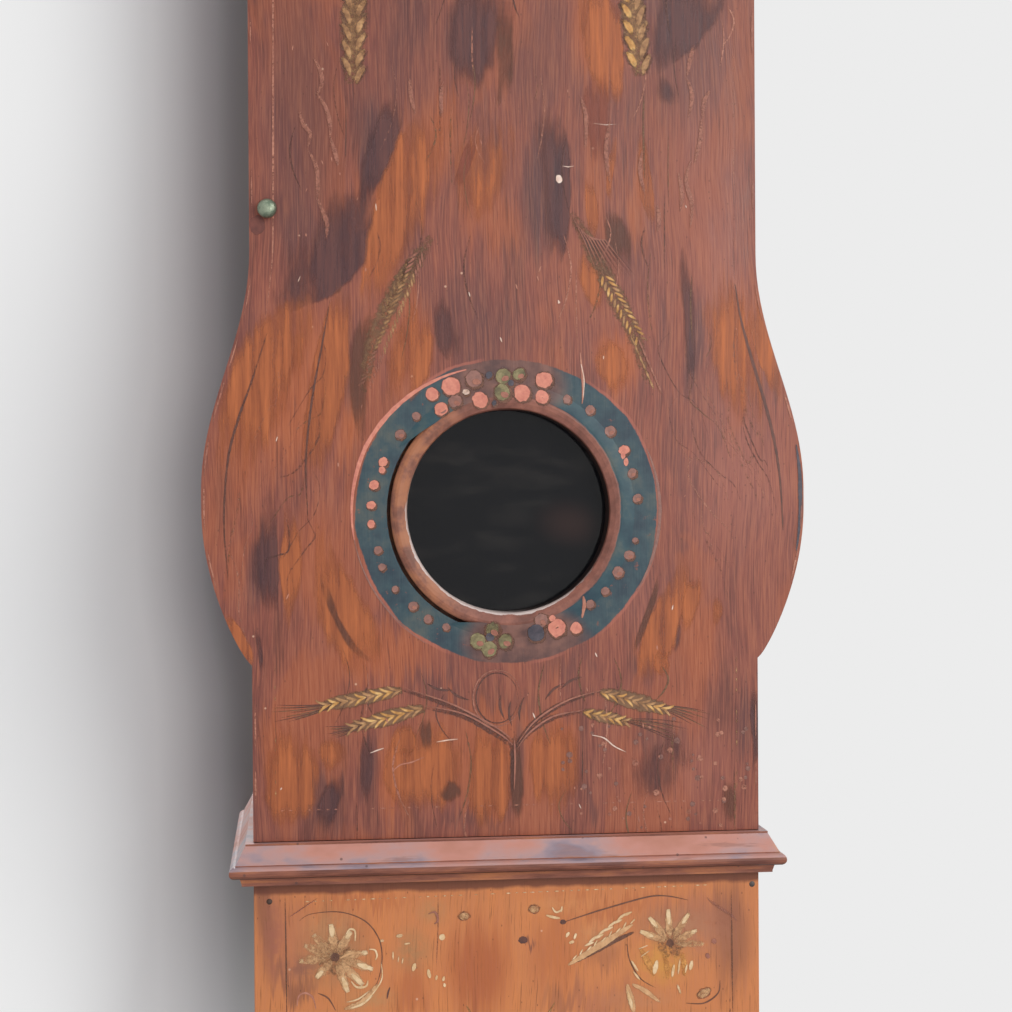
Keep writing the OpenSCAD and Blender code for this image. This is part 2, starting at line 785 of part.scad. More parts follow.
module anchor() {
    reach = z_pivot - at_escape[1];
    tip = escape_tip + 1 + reach * sin(swing);
    span = 45;
    fork_z = z_pivot - 46;
    color("gray") {
        y_rod(at_pivot, [y_cage[0] - 8, y_cage[1]], pivot_r);
        y_rod(at_pivot, [y_escape_wheel[0] - 4, y_escape_wheel[1] + 4], arbor_r);
        y_plate(at_escape, y_escape_wheel) difference() {
            polygon(concat(
                arc_points([0, 0], tip + 5, 90 - span, 90 + span, 12),
                arc_points([0, 0], tip, 90 + span, 90 - span, 12)
            ));
        }
        y_plate(at_escape, y_escape_wheel) translate([-3.5, tip + 3]) square([7, reach - tip - 3]);
        block([-2.5, y_cage[0] - 7, fork_z], [2.5, y_cage[0] - 4, z_pivot + 4]);
        for (side = [-1, 1])
            block([side * (rod_w / 2 + 2.2) - 1.5, y_pendulum - 3, fork_z - 4],
                [side * (rod_w / 2 + 2.2) + 1.5, y_cage[0] - 4, fork_z]);
        block([-rod_w / 2 - 3.7, y_cage[0] - 7, fork_z - 4], [rod_w / 2 + 3.7, y_cage[0] - 4, fork_z + eps]);
    }
}

// Wheels: flat-sided involute teeth, all cut to the same pressure angle

pressure = 20;
backlash = 0.14;
wheel_add = 0.45;
leaf_add = 0.92;
root_gap = 0.25;
escape_tip = 21.5;

function involute(r, rb) = r <= rb ? 0 : sqrt(r * r / (rb * rb) - 1) * 180 / PI - acos(rb / r);
function tooth_half(r, rp, teeth) = let (rb = rp * cos(pressure))
    90 / teeth - backlash / 4 / rp * 180 / PI + involute(rp, rb) - involute(max(r, rb), rb);

// The radii at which a tooth's flank has a point, from its root to its tip
function flank(rp, add, ded, steps) = let (rb = rp * cos(pressure), low = max(rp - ded, rb))
    concat(rp - ded < rb ? [rp - ded] : [], [for (i = [0 : steps]) low + (rp + add - low) * i / steps]);

function gear_points(teeth, m, add, ded, steps) = let (rp = teeth * m / 2, radii = flank(rp, add, ded, steps))
    [for (tooth = [0 : teeth - 1], side = [-1, 1], i = [0 : len(radii) - 1])
        let (
            r = side < 0 ? radii[i] : radii[len(radii) - 1 - i],
            a = 360 * tooth / teeth + side * tooth_half(r, rp, teeth)
        ) r * [cos(a), sin(a)]];

// A wheel with crossed arms, whose tooth points at the angle that its pinion lies at
module wheel(at, y, teeth, m, mate, hole_r, arms = 4) {
    facing = heading(at, mate);
    rp = teeth * m / 2;
    rim = rp - m * (leaf_add + root_gap) - 4;
    hub = hole_r + 4.5;
    y_plate(at, y) rotate(facing) difference() {
        polygon(gear_points(teeth, m, wheel_add * m, (leaf_add + root_gap) * m, 2));
        polygon(ring_points(hole_r / cos(15) + 0.01, 12));
        difference() {
            polygon(ring_points(rim, 40));
            polygon(ring_points(hub, 24));
            for (i = [0 : arms - 1]) rotate(360 * i / arms + 20) translate([0, -2]) square([rim + 2, 4]);
        }
    }
}

module pinion(at, y, teeth, m, mate, hole_r) {
    facing = heading(at, mate) + 180 / teeth;
    y_plate(at, [y[0] - pinion_over, y[1] + pinion_over]) rotate(facing) difference() {
        polygon(gear_points(teeth, m, leaf_add * m, (wheel_add + root_gap) * m, 3));
        polygon(ring_points(hole_r / cos(15) + 0.01, 12));
    }
}

module arbor(at, thick_y) {
    y_rod(at, [y_cage[0], y_cage[1]], pivot_r);
    y_rod(at, thick_y, arbor_r);
}

function heading(a, b) = atan2(b[1] - a[1], b[0] - a[0]);
inside = [y_cage[0] + strip_t + 1, y_cage[1] - strip_t - 1];

module centre_wheel() {
    color("goldenrod") wheel(at_centre, y_centre_wheel, centre_teeth, train_m, at_third, arbor_r);
    color("gray") {
        pinion(at_centre, y_going_great, leaves, great_m, at_going, arbor_r);
        y_rod(at_centre, [y_hand_nut[0] + 2, y_cage[1]], arbor_r);
    }
}

module third_wheel() {
    color("goldenrod") wheel(at_third, y_third_wheel, third_teeth, train_m, at_escape, arbor_r);
    color("gray") {
        pinion(at_third, y_centre_wheel, leaves, train_m, at_centre, arbor_r);
        arbor(at_third, inside);
    }
}

module escape_wheel() {
    n = escape_teeth;
    tip = escape_tip;
    color("goldenrod") y_plate(at_escape, y_escape_wheel) difference() {
        polygon([for (i = [0 : n - 1], p = [[tip - 6, 0.25], [tip, 0.05], [tip, 0.15], [tip - 6, 0.85]])
            p[0] * [cos(360 * (i + p[1]) / n), sin(360 * (i + p[1]) / n)]]);
        polygon(ring_points(arbor_r / cos(15) + 0.01, 12));
        difference() {
            polygon(ring_points(tip - 9, 32));
            polygon(ring_points(arbor_r + 4, 24));
            for (i = [0 : 3]) rotate(90 * i) translate([0, -1.3]) square([tip - 8, 2.6]);
        }
    }
    color("gray") {
        pinion(at_escape, y_third_wheel, leaves, train_m, at_third, arbor_r);
        arbor(at_escape, inside);
    }
}

module going_great_wheel() {
    color("goldenrod")
        wheel(at_going, y_going_great, great_teeth, great_m, at_centre, drum_arbor_r + run_fit);
}

module strike_great_wheel() {
    color("goldenrod")
        wheel(at_strike, y_strike_great, great_teeth, great_m, at_pin, drum_arbor_r + run_fit);
}

module pin_wheel() {
    pins = 10;
    pin_ring_r = 23.5;
    color("goldenrod") wheel(at_pin, y_pin_wheel, pin_teeth, strike_m, at_warning, arbor_r);
    color("gray") {
        for (i = [0 : pins - 1])
            y_rod(at_pin + turned(pin_ring_r, 360 * i / pins), [y_pin_wheel[0] - 6, y_pin_wheel[0]], 1.2);
        pinion(at_pin, y_strike_great, leaves, great_m, at_strike, arbor_r);
        arbor(at_pin, inside);
    }
}

module warning_wheel() {
    color("goldenrod") wheel(at_warning, y_warning_wheel, warning_teeth, warning_m, at_fly, arbor_r);
    color("gray") {
        pinion(at_warning, y_pin_wheel, leaves, strike_m, at_pin, arbor_r);
        arbor(at_warning, inside);
    }
}

module fly() {
    blade = 19;
    color("gray") {
        pinion(at_fly, y_warning_wheel, leaves, warning_m, at_warning, pivot_r);
        y_rod(at_fly, y_cage, pivot_r);
    }
    color("goldenrod") difference() {
        translate([at_fly[0], 0, at_fly[1]]) rotate([0, 35, 0])
            block([-blade, y_fly[0], -0.5], [blade, y_fly[1], 0.5]);
        y_rod(at_fly, [y_fly[0] - 1, y_fly[1] + 1], pivot_r + 0.01);
    }
}

// Drums, weights and cords

module drum(at) {
    flange = 3;
    grooves = 15;
    pitch = (y_drum[1] - y_drum[0] - 2 * flange) / grooves;
    color("peru") translate([at[0], y_drum[0], at[1]]) rotate([-90, 0, 0]) rotate_extrude() polygon(concat(
        [[drum_arbor_r, 0], [drum_r + 8, 0], [drum_r + 8, flange]],
        [for (i = [0 : grooves - 1], p = [[0, 0], [-0.6, 0.5]]) [drum_r + p[0], flange + (i + p[1]) * pitch]],
        [[drum_r, flange + grooves * pitch], [drum_r + 8, y_drum[1] - y_drum[0] - flange]],
        [[drum_r + 8, y_drum[1] - y_drum[0]], [drum_arbor_r, y_drum[1] - y_drum[0]]]
    ));
    color("gray") {
        y_rod(at, [y_cage[0] - 34, y_cage[1]], drum_arbor_r);
        y_plate(at, [y_cage[0] - 44, y_cage[0] - 34 - eps]) square(5.2, center = true);
    }
}

module going_drum() {
    drum(at_going);
}

module strike_drum() {
    drum(at_strike);
}

module weight(x) {
    color("dimgray") translate([x, y_cord, z_weight_top - weight_h]) {
        rotate_extrude() polygon([
            [0, 0], [weight_r - 3, 0], [weight_r, 3], [weight_r, weight_h - 5], [weight_r - 5, weight_h],
            [8, weight_h], [0, weight_h]
        ]);
        translate([0, 0, weight_h]) cylinder(r = 3, h = hook_h - 12 + eps);
        translate([0, 0, weight_h + hook_h - 6]) rotate([90, 0, 0]) rotate_extrude()
            translate([5, 0]) circle(r = 1.6, $fn = 16);
    }
}

module going_weight() {
    weight(cord_x);
}

module strike_weight() {
    weight(-cord_x);
}

module weight_cord(x) {
    z = z_weight_top + hook_h + 0.6;
    color("tan") translate([x, y_cord, z]) cylinder(r = cord_r, h = at_going[1] - z);
}

module going_cord() {
    weight_cord(cord_x + 0.05);
}

module strike_cord() {
    weight_cord(-cord_x - 0.05);
}

module hammer() {
    head_z = z_cage_top + cage_plate_t + 34;
    head_x = -bell_r - 3;
    color("gray") {
        y_rod(at_hammer, y_cage, pivot_r);
        y_rod(at_hammer, [y_hammer - 5, y_hammer + 5], 4);
        block([at_hammer[0] - 1.5, y_hammer - 2.5, at_hammer[1]],
            [at_hammer[0] + 1.5, y_hammer + 2.5, head_z + 1.5]);
        block([at_hammer[0] - 1.5, y_hammer - 2.5, head_z - 1.5], [head_x - 8, y_hammer + 2.5, head_z + 1.5]);
        translate([head_x - 12, y_hammer, head_z]) rotate([0, 90, 0]) cylinder(r = 6, h = 12);
        translate([at_hammer[0], y_hammer + 2, at_hammer[1]]) rotate([0, -27, 0])
            block([-2, 0, -34], [2, 3, 0]);
    }
}

// Motion work and hands

module cannon_pinion() {
    color("goldenrod") {
        difference() {
            y_rod(at_centre, [y_minute_hand[0], y_cannon[0] - eps], pipe_r);
            y_rod(at_centre, [y_minute_hand[0] - 1, y_cannon[1]], arbor_r + run_fit);
        }
        difference() {
            y_plate(at_centre, y_cannon) rotate(heading(at_stud, at_centre) + 180 + 180 / 12)
                polygon(gear_points(12, cannon_m, 0.7 * cannon_m, 0.85 * cannon_m, 3));
            y_plate(at_centre, [y_cannon[0] - 1, y_cannon[1] + 1])
                polygon(ring_points((arbor_r + run_fit) / cos(15), 12));
        }
    }
}

module minute_wheel() {
    color("goldenrod") {
        y_plate(at_stud, y_minute_wheel) rotate(heading(at_stud, at_centre)) difference() {
            polygon(gear_points(36, cannon_m, 0.6 * cannon_m, 1 * cannon_m, 2));
            polygon(ring_points((stud_r + run_fit) / cos(15), 12));
        }
        y_plate(at_stud, y_minute_pinion) rotate(heading(at_centre, at_stud) + 180 + 180 / 10) difference() {
            polygon(gear_points(10, hour_m, leaf_add * hour_m, 0.75 * hour_m, 3));
            polygon(ring_points((stud_r + run_fit) / cos(15), 12));
        }
        difference() {
            y_rod(at_stud, [y_minute_pinion[1] + eps, y_minute_wheel[0] - eps], 3.4);
            y_rod(at_stud, [y_minute_pinion[0], y_minute_wheel[1]], stud_r + run_fit);
        }
    }
}

module hour_wheel() {
    color("goldenrod") {
        y_plate(at_centre, y_hour_wheel) rotate(heading(at_centre, at_stud)) difference() {
            polygon(gear_points(40, hour_m, wheel_add * hour_m, (leaf_add + root_gap) * hour_m, 2));
            polygon(ring_points((pipe_r + run_fit) / cos(15), 12));
        }
        difference() {
            y_rod(at_centre, [y_hour_hand[0], y_hour_wheel[0] - eps], hour_pipe_r);
            y_rod(at_centre, [y_hour_hand[0] - 1, y_hour_wheel[1]], pipe_r + run_fit);
        }
    }
}

module hour_hand() {
    long = dial_r * 0.56;
    color("black") y_plate(at_centre, y_hour_hand) difference() {
        union() {
            circle(r = hour_pipe_r + 4);
            polygon([[-2.2, 0], [2.2, 0], [1.8, long - 12], [-1.8, long - 12]]);
            translate([0, long * 0.55]) circle(r = 8);
            polygon([[-6.5, long - 22], [0, long - 14], [6.5, long - 22], [0, long]]);
            translate([-2, -18]) square([4, 16]);
        }
        circle(r = hour_pipe_r + 0.02);
        translate([0, long * 0.55]) circle(r = 5);
    }
}

module minute_hand() {
    long = dial_r * 0.84;
    hand_nut();
    color("black") y_plate(at_centre, y_minute_hand) difference() {
        union() {
            circle(r = pipe_r + 4);
            polygon([[-2, 0], [2, 0], [1.4, long - 10], [-1.4, long - 10]]);
            translate([0, long * 0.62]) circle(r = 7);
            polygon([[-4.5, long - 20], [0, long - 13], [4.5, long - 20], [0, long]]);
            translate([-1.8, -22]) square([3.6, 20]);
        }
        circle(r = pipe_r + 0.02);
        translate([0, long * 0.62]) circle(r = 4.3);
    }
}

module hand_nut() {
    color("goldenrod") difference() {
        translate([0, y_hand_nut[1], z_dial]) rotate([90, 0, 0]) rotate_extrude() polygon([
            [0, 0], [6, 0], [6, 1.5], [4.2, 3.2], [2, 4.4], [0, 4.7]
        ]);
        y_rod(at_centre, [y_hand_nut[0] + 1, y_hand_nut[1] + 1], arbor_r + run_fit);
    }
}

side_left();
side_right();
back_planks();
plinth_front();
plinth_floor();
foot_moulding();
waist_moulding();
head_rail();
neck_moulding();
seat_board();
hood_sides();
hood_roof();
cornice();
crest();
hood_side_glass();
fixed_hinge_leaves();
trunk_door();
door_battens();
window_bezel();
window_glass();
door_hinge_leaves();
door_knob();
latch_tongue();
hood_door_frame();
hood_glass();
hood_hinge_leaves();
hood_latch();
movement_cage();
pivot_strips();
dial_plate();
enamel_dial();
brass_surround();
suspension_cock();
bell_stand();
bell();
pendulum_rod();
pendulum_bob();
rating_nut();
suspension_spring();
anchor();
cannon_pinion();
minute_hand();
hour_wheel();
hour_hand();
minute_wheel();
centre_wheel();
third_wheel();
escape_wheel();
going_great_wheel();
going_drum();
going_weight();
going_cord();
strike_great_wheel();
pin_wheel();
warning_wheel();
fly();
strike_drum();
strike_weight();
strike_cord();
hammer();
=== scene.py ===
"""Looks of the longcase clock: camera, light, materials, painted ornament, dial, cords and wear."""

import math
import random

import bpy
from mathutils import Matrix, Vector


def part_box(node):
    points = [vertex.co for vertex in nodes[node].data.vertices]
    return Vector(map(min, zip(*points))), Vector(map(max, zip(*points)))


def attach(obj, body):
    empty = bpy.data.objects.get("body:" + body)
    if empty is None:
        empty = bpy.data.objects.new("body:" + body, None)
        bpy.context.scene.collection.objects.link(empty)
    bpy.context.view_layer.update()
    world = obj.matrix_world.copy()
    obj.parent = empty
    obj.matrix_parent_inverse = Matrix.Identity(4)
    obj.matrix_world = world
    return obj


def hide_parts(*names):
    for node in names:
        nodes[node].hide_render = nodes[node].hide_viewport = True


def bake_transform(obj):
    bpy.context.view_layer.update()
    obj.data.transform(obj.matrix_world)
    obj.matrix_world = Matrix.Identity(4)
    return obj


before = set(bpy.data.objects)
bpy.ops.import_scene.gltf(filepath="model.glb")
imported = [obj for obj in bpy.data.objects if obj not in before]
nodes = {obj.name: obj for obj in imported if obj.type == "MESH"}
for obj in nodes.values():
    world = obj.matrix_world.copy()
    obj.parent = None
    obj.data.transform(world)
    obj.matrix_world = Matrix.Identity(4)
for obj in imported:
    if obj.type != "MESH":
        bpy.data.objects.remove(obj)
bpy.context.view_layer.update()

# Places, read from the solids


def middle(box):
    """The (x, z) in the middle of a solid's box."""
    return (box[0].x + box[1].x) / 2, (box[0].z + box[1].z) / 2


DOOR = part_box("trunk_door")
FACE = DOOR[0].y
DOOR_Z = DOOR[0].z
# half the width of the straight trunk, and how far the belly and the window stand above the door's foot
HALF = 0.200
BELLY_UP = 0.137
WINDOW_UP = 0.255
WINDOW = (0.0, DOOR_Z + WINDOW_UP)
PLINTH_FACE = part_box("plinth_front")[0].y
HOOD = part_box("hood_door_frame")
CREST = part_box("crest")
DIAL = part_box("enamel_dial")
DIAL_AT = middle(DIAL)
DIAL_R = (DIAL[1].x - DIAL[0].x) / 2
KNOB_AT = middle(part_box("door_knob"))
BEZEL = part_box("window_bezel")
BEZEL_AT = middle(BEZEL)
# the turned ring's radius, and the width of the paint over its joint with the board
BEZEL_R = 0.0931
JOINT = 0.0068

# Camera

EYE = Vector((-0.1658, -1.608, 0.732))
YAW, PITCH, ROLL = math.radians(6.26), math.radians(0.38), math.radians(-0.35)
SENSOR = 36
FOCAL_PX = 1919.8
PICTURE = 1012
# the side of one pixel of the photograph, in metres on the front of the door
PX = 0.000789

forward = Vector((math.sin(YAW) * math.cos(PITCH), math.cos(YAW) * math.cos(PITCH), -math.sin(PITCH)))
level = Vector((math.cos(YAW), -math.sin(YAW), 0))
upright = level.cross(forward)
right = math.cos(ROLL) * level + math.sin(ROLL) * upright
up = -math.sin(ROLL) * level + math.cos(ROLL) * upright

lens = bpy.data.cameras.new("camera")
lens.sensor_width = SENSOR
lens.lens = SENSOR * FOCAL_PX / PICTURE
camera = bpy.data.objects.new("camera", lens)
bpy.context.scene.collection.objects.link(camera)
turn = Matrix((right, up, -forward)).transposed()
camera.matrix_world = Matrix.Translation(EYE) @ turn.to_4x4()
bpy.context.scene.camera = camera


def spot(px, py, y=FACE):
    """(x, z) on the plane y of what shows at this pixel of the photograph."""
    ray = forward + right * ((px - PICTURE / 2) / FOCAL_PX) - up * ((py - PICTURE / 2) / FOCAL_PX)
    t = (y - EYE.y) / ray.y
    at = EYE + ray * t
    return at.x, at.z


# Light and surroundings


def ink(r, g, b):
    """A colour from its 0 to 255 screen values."""
    def linear(c):
        c /= 255
        return c / 12.92 if c <= 0.04045 else ((c + 0.055) / 1.055) ** 2.4
    return (linear(r), linear(g), linear(b), 1.0)


scene = bpy.context.scene
scene.view_settings.view_transform = "Standard"
scene.view_settings.look = "None"

world = bpy.data.worlds.new("studio")
scene.world = world
world.use_nodes = True
sky = world.node_tree
sky.nodes.clear()
sky_out = sky.nodes.new("ShaderNodeOutputWorld")
seen, lit = sky.nodes.new("ShaderNodeBackground"), sky.nodes.new("ShaderNodeBackground")
seen.inputs[0].default_value = ink(236, 236, 236)
lit.inputs[0].default_value = (0.93, 0.96, 1.0, 1)
lit.inputs[1].default_value = 0.32
path, choose = sky.nodes.new("ShaderNodeLightPath"), sky.nodes.new("ShaderNodeMixShader")
either, any_of = sky.nodes.new("ShaderNodeMath"), sky.nodes.new("ShaderNodeMath")
either.operation = any_of.operation = "MAXIMUM"
sky.links.new(path.outputs["Is Camera Ray"], either.inputs[0])
sky.links.new(path.outputs["Is Glossy Ray"], either.inputs[1])
sky.links.new(either.outputs[0], any_of.inputs[0])
sky.links.new(path.outputs["Is Transmission Ray"], any_of.inputs[1])
sky.links.new(any_of.outputs[0], choose.inputs[0])
sky.links.new(lit.outputs[0], choose.inputs[1])
sky.links.new(seen.outputs[0], choose.inputs[2])
sky.links.new(choose.outputs[0], sky_out.inputs[0])


def soft_light(name, at, towards, size, power, colour=(1, 1, 1)):
    """A rectangular lamp: its place, the point that it faces, its sides in metres and its power in watts."""
    data = bpy.data.lights.new(name, "AREA")
    data.shape, data.size, data.size_y = "RECTANGLE", size[0], size[1]
    data.energy, data.color = power, colour
    lamp = bpy.data.objects.new(name, data)
    scene.collection.objects.link(lamp)
    lamp.location = at
    lamp.rotation_mode = "QUATERNION"
    lamp.rotation_quaternion = (Vector(towards) - Vector(at)).to_track_quat("-Z", "Y")


soft_light("key", (2.0, -3.2, 1.9), (0, 0, 0.8), (2.0, 2.0), 84, (1.0, 0.98, 0.95))
soft_light("fill", (0.9, -3.4, 1.0), (0, 0, 1.0), (1.8, 2.2), 9, (0.96, 0.98, 1.0))
soft_light("left", (-2.6, -2.2, 1.2), (0, 0, 1.1), (1.6, 2.0), 3, (0.93, 0.96, 1.0))
soft_light("top", (0.2, -1.4, 3.6), (0, 0, 1.0), (2.2, 1.6), 14, (0.93, 0.96, 1.0))
soft_light("back", (-0.6, 3.2, 2.6), (0, 0, 1.1), (2.4, 2.0), 70)


class Shader:
    """Builds a material's node tree from short calls. Every value may be a number, a colour or a socket."""

    def __init__(self, name, **surface):
        self.material = bpy.data.materials.new(name)
        self.material.use_nodes = True
        self.tree = self.material.node_tree
        self.tree.nodes.clear()
        self.out = self.node("ShaderNodeOutputMaterial")
        self.skin = self.node("ShaderNodeBsdfPrincipled")
        self.tree.links.new(self.skin.outputs[0], self.out.inputs[0])
        self.place = self.node("ShaderNodeTexCoord").outputs["Object"]
        self.surface(**surface)

    def node(self, kind, **properties):
        made = self.tree.nodes.new(kind)
        for key, value in properties.items():
            setattr(made, key, value)
        return made

    def feed(self, socket, value):
        if isinstance(value, bpy.types.NodeSocket):
            self.tree.links.new(value, socket)
        else:
            socket.default_value = value

    def surface(self, **values):
        for key, value in values.items():
            self.feed(self.skin.inputs[key.replace("_", " ")], value)

    def math(self, kind, *values, clamp=False):
        made = self.node("ShaderNodeMath", operation=kind, use_clamp=clamp)
        for socket, value in zip(made.inputs, values):
            self.feed(socket, value)
        return made.outputs[0]

    def vector(self, kind, *values):
        made = self.node("ShaderNodeVectorMath", operation=kind)
        for socket, value in zip(made.inputs, values):
            self.feed(socket, value)
        return made.outputs["Value" if kind in ("LENGTH", "DOT_PRODUCT", "DISTANCE") else "Vector"]

    def moved(self, at, scale=(1, 1, 1), shift=(0, 0, 0)):
        made = self.node("ShaderNodeMapping")
        self.feed(made.inputs[0], at)
        made.inputs["Location"].default_value = shift
        made.inputs["Scale"].default_value = scale
        return made.outputs[0]

    def noise(self, at, scale, detail=3.0, rough=0.55, warp=0.0, colour=False):
        made = self.node("ShaderNodeTexNoise")
        self.feed(made.inputs["Vector"], at)
        for key, value in (("Scale", scale), ("Detail", detail), ("Roughness", rough), ("Distortion", warp)):
            self.feed(made.inputs[key], value)
        return made.outputs["Color" if colour else "Fac"]

    def cells(self, at, scale, feature="F1"):
        made = self.node("ShaderNodeTexVoronoi", feature=feature)
        self.feed(made.inputs["Vector"], at)
        made.inputs["Scale"].default_value = scale
        return made.outputs["Distance"]

    def fit(self, value, low, high, to_low=0.0, to_high=1.0):
        made = self.node("ShaderNodeMapRange", clamp=True, interpolation_type="SMOOTHSTEP")
        for socket, number in zip(made.inputs, (value, low, high, to_low, to_high)):
            self.feed(socket, number)
        return made.outputs[0]

    def ramp(self, value, *stops):
        made = self.node("ShaderNodeValToRGB")
        self.feed(made.inputs[0], value)
        band = made.color_ramp
        while len(band.elements) < len(stops):
            band.elements.new(0.5)
        for element, (position, colour) in zip(band.elements, stops):
            element.position, element.color = position, colour
        return made.outputs[0]

    def mix(self, share, a, b):
        made = self.node("ShaderNodeMix", data_type="RGBA")
        self.feed(made.inputs[0], share)
        self.feed(made.inputs[6], a)
        self.feed(made.inputs[7], b)
        return made.outputs[2]

    def axes(self, at=None):
        made = self.node("ShaderNodeSeparateXYZ")
        self.feed(made.inputs[0], at or self.place)
        return made.outputs[0], made.outputs[1], made.outputs[2]

    def around(self, centre):
        """x and z as measured from a centre, and the distance from it."""
        x, _, z = self.axes()
        x, z = self.math("SUBTRACT", x, centre[0]), self.math("SUBTRACT", z, centre[1])
        squares = self.math("ADD", self.math("MULTIPLY", x, x), self.math("MULTIPLY", z, z))
        return x, z, self.math("SQRT", squares)

    def blob(self, at, x, z, wide, tall, lean=0.0, soft=0.6):
        """1 inside a leaning ellipse of these half sizes in metres, falling softly to 0 at its edge."""
        made = self.node("ShaderNodeMapping", vector_type="TEXTURE")
        self.feed(made.inputs[0], at)
        made.inputs["Location"].default_value = (x, 0, z)
        made.inputs["Rotation"].default_value = (0, math.radians(lean), 0)
        made.inputs["Scale"].default_value = (wide, 1000, tall)
        return self.fit(self.vector("LENGTH", made.outputs[0]), 1.0, 1.0 - soft)

    def most(self, values):
        best = values[0]
        for value in values[1:]:
            best = self.math("MAXIMUM", best, value)
        return best

    def bumped(self, height, strength=0.3, deep=0.001):
        made = self.node("ShaderNodeBump")
        self.feed(made.inputs["Height"], height)
        made.inputs["Strength"].default_value = strength
        made.inputs["Distance"].default_value = deep
        self.surface(Normal=made.outputs[0])


# Painted and grained wood

RED_BROWN = ink(128, 70, 59)
DEEP_BROWN = ink(108, 60, 52)
WARM_BROWN = ink(144, 82, 64)
ORANGE = ink(168, 90, 52)
NIGHT = ink(78, 50, 54)
ROSE = ink(150, 90, 78)
UMBER = ink(84, 50, 40)


def grained(name, seed, dark=(), warm=(), rosy=(), tone=0.0, shine=0.40, flames=0.6):
    """Pine that is grained with a brush: upright streaks, flames of orange, and blooms where dark, warm
    and rosy say. Each of those is a list of (x, z, half width, half height, lean, strength)."""
    s = Shader(name, Specular_IOR_Level=0.32)
    shift = (seed * 3.1, seed * 1.7, seed * 2.3)
    base = s.moved(s.place, shift=shift)
    sway = s.noise(base, 5.0, 2, 0.5, colour=True)
    sway = s.vector("SUBTRACT", sway, (0.5, 0.5, 0.5))
    wavy = s.vector("ADD", base, s.vector("MULTIPLY", sway, (0.022, 0.0, 0.022)))
    comb = s.moved(wavy, scale=(1, 1, 0.035))
    broad = s.noise(s.moved(wavy, scale=(1, 1, 0.22)), 26, 5, 0.65, 0.6)
    streak = s.noise(comb, 180, 4, 0.65, 0.3)
    fine = s.noise(comb, 760, 3, 0.7)
    flame = s.noise(s.moved(wavy, scale=(1, 1, 0.26)), 13, 4, 0.55, 1.1)
    colour = s.ramp(
        s.math("ADD", s.math("MULTIPLY", broad, 0.55),
               s.math("ADD", s.math("MULTIPLY", streak, 0.27), s.math("MULTIPLY", fine, 0.18))),
        (0.39, DEEP_BROWN), (0.49, RED_BROWN), (0.59, WARM_BROWN),
    )
    colour = s.mix(s.fit(flame, 0.54, 0.60, 0.0, flames), colour, ORANGE)
    colour = s.mix(s.fit(flame, 0.44, 0.36, 0.0, 0.32), colour, NIGHT)
    if tone:
        colour = s.mix(tone, colour, ink(224, 142, 82))
    # a brush pulls the edges of each bloom out along the grain
    pull = s.math("MULTIPLY", s.math("SUBTRACT", streak, 0.5), 0.085)
    feather = s.node("ShaderNodeCombineXYZ")
    s.feed(feather.inputs[2], pull)
    pulled = s.vector("ADD", s.place, feather.outputs[0])
    pulled = s.vector("ADD", pulled, s.vector("MULTIPLY", sway, (0.05, 0.0, 0.035)))

    def blooms(spots, soft=0.75):
        return s.most([
            s.math("MULTIPLY", s.blob(pulled, x, z, wide, tall, lean, soft), strength)
            for x, z, wide, tall, lean, strength in spots
        ])

    grit = s.fit(fine, 0.30, 0.70, 0.80, 1.15)
    if warm:
        colour = s.mix(s.math("MULTIPLY", blooms(warm), grit, clamp=True), colour, ORANGE)
    if rosy:
        colour = s.mix(s.math("MULTIPLY", blooms(rosy, 0.9), grit, clamp=True), colour, ROSE)
    if dark:
        colour = s.mix(s.math("MULTIPLY", blooms(dark), grit, clamp=True), colour, NIGHT)
    colour = s.mix(s.fit(streak, 0.60, 0.74, 0.0, 0.24), colour, UMBER)
    colour = s.mix(s.fit(fine, 0.42, 0.66, 0.0, 0.30), colour, ink(182, 116, 86))
    colour = s.mix(s.fit(fine, 0.45, 0.30, 0.0, 0.50), colour, UMBER)
    speck = s.cells(s.moved(s.place, scale=(1, 1, 0.6)), 150)
    colour = s.mix(s.fit(speck, 0.10, 0.05, 0.0, 0.55), colour, UMBER)
    chips = s.cells(s.moved(s.place, shift=(0.4, 0.2, 0.7)), 34)
    colour = s.mix(s.fit(chips, 0.040, 0.022, 0.0, 0.7), colour, ink(214, 172, 146))
    s.surface(Base_Color=colour, Roughness=s.fit(broad, 0.3, 0.7, shine - 0.06, shine + 0.14))
    s.bumped(s.math("ADD", s.math("MULTIPLY", fine, 0.5), s.math("MULTIPLY", streak, 0.8)), 0.35, 0.0006)
    s.colour = colour
    return s


def bare_inside(s, share):
    """Wood left unpainted on the faces that look into the case."""
    grain = s.noise(s.moved(s.place, scale=(1, 1, 0.05)), 160, 5, 0.65, 0.4)
    wood = s.ramp(grain, (0.32, ink(118, 82, 54)), (0.55, ink(158, 118, 78)), (0.75, ink(126, 88, 56)))
    s.colour = s.mix(share, s.colour, wood)
    s.surface(Base_Color=s.colour)


def blooms_at(y, *spots):
    """Blooms given in the photograph's pixels: x, y, half width, half height, lean, strength."""
    made = []
    for px, py, wide, tall, lean, strength in spots:
        x, z = spot(px, py, y)
        made.append((x, z, wide * PX, tall * PX, lean, strength))
    return made


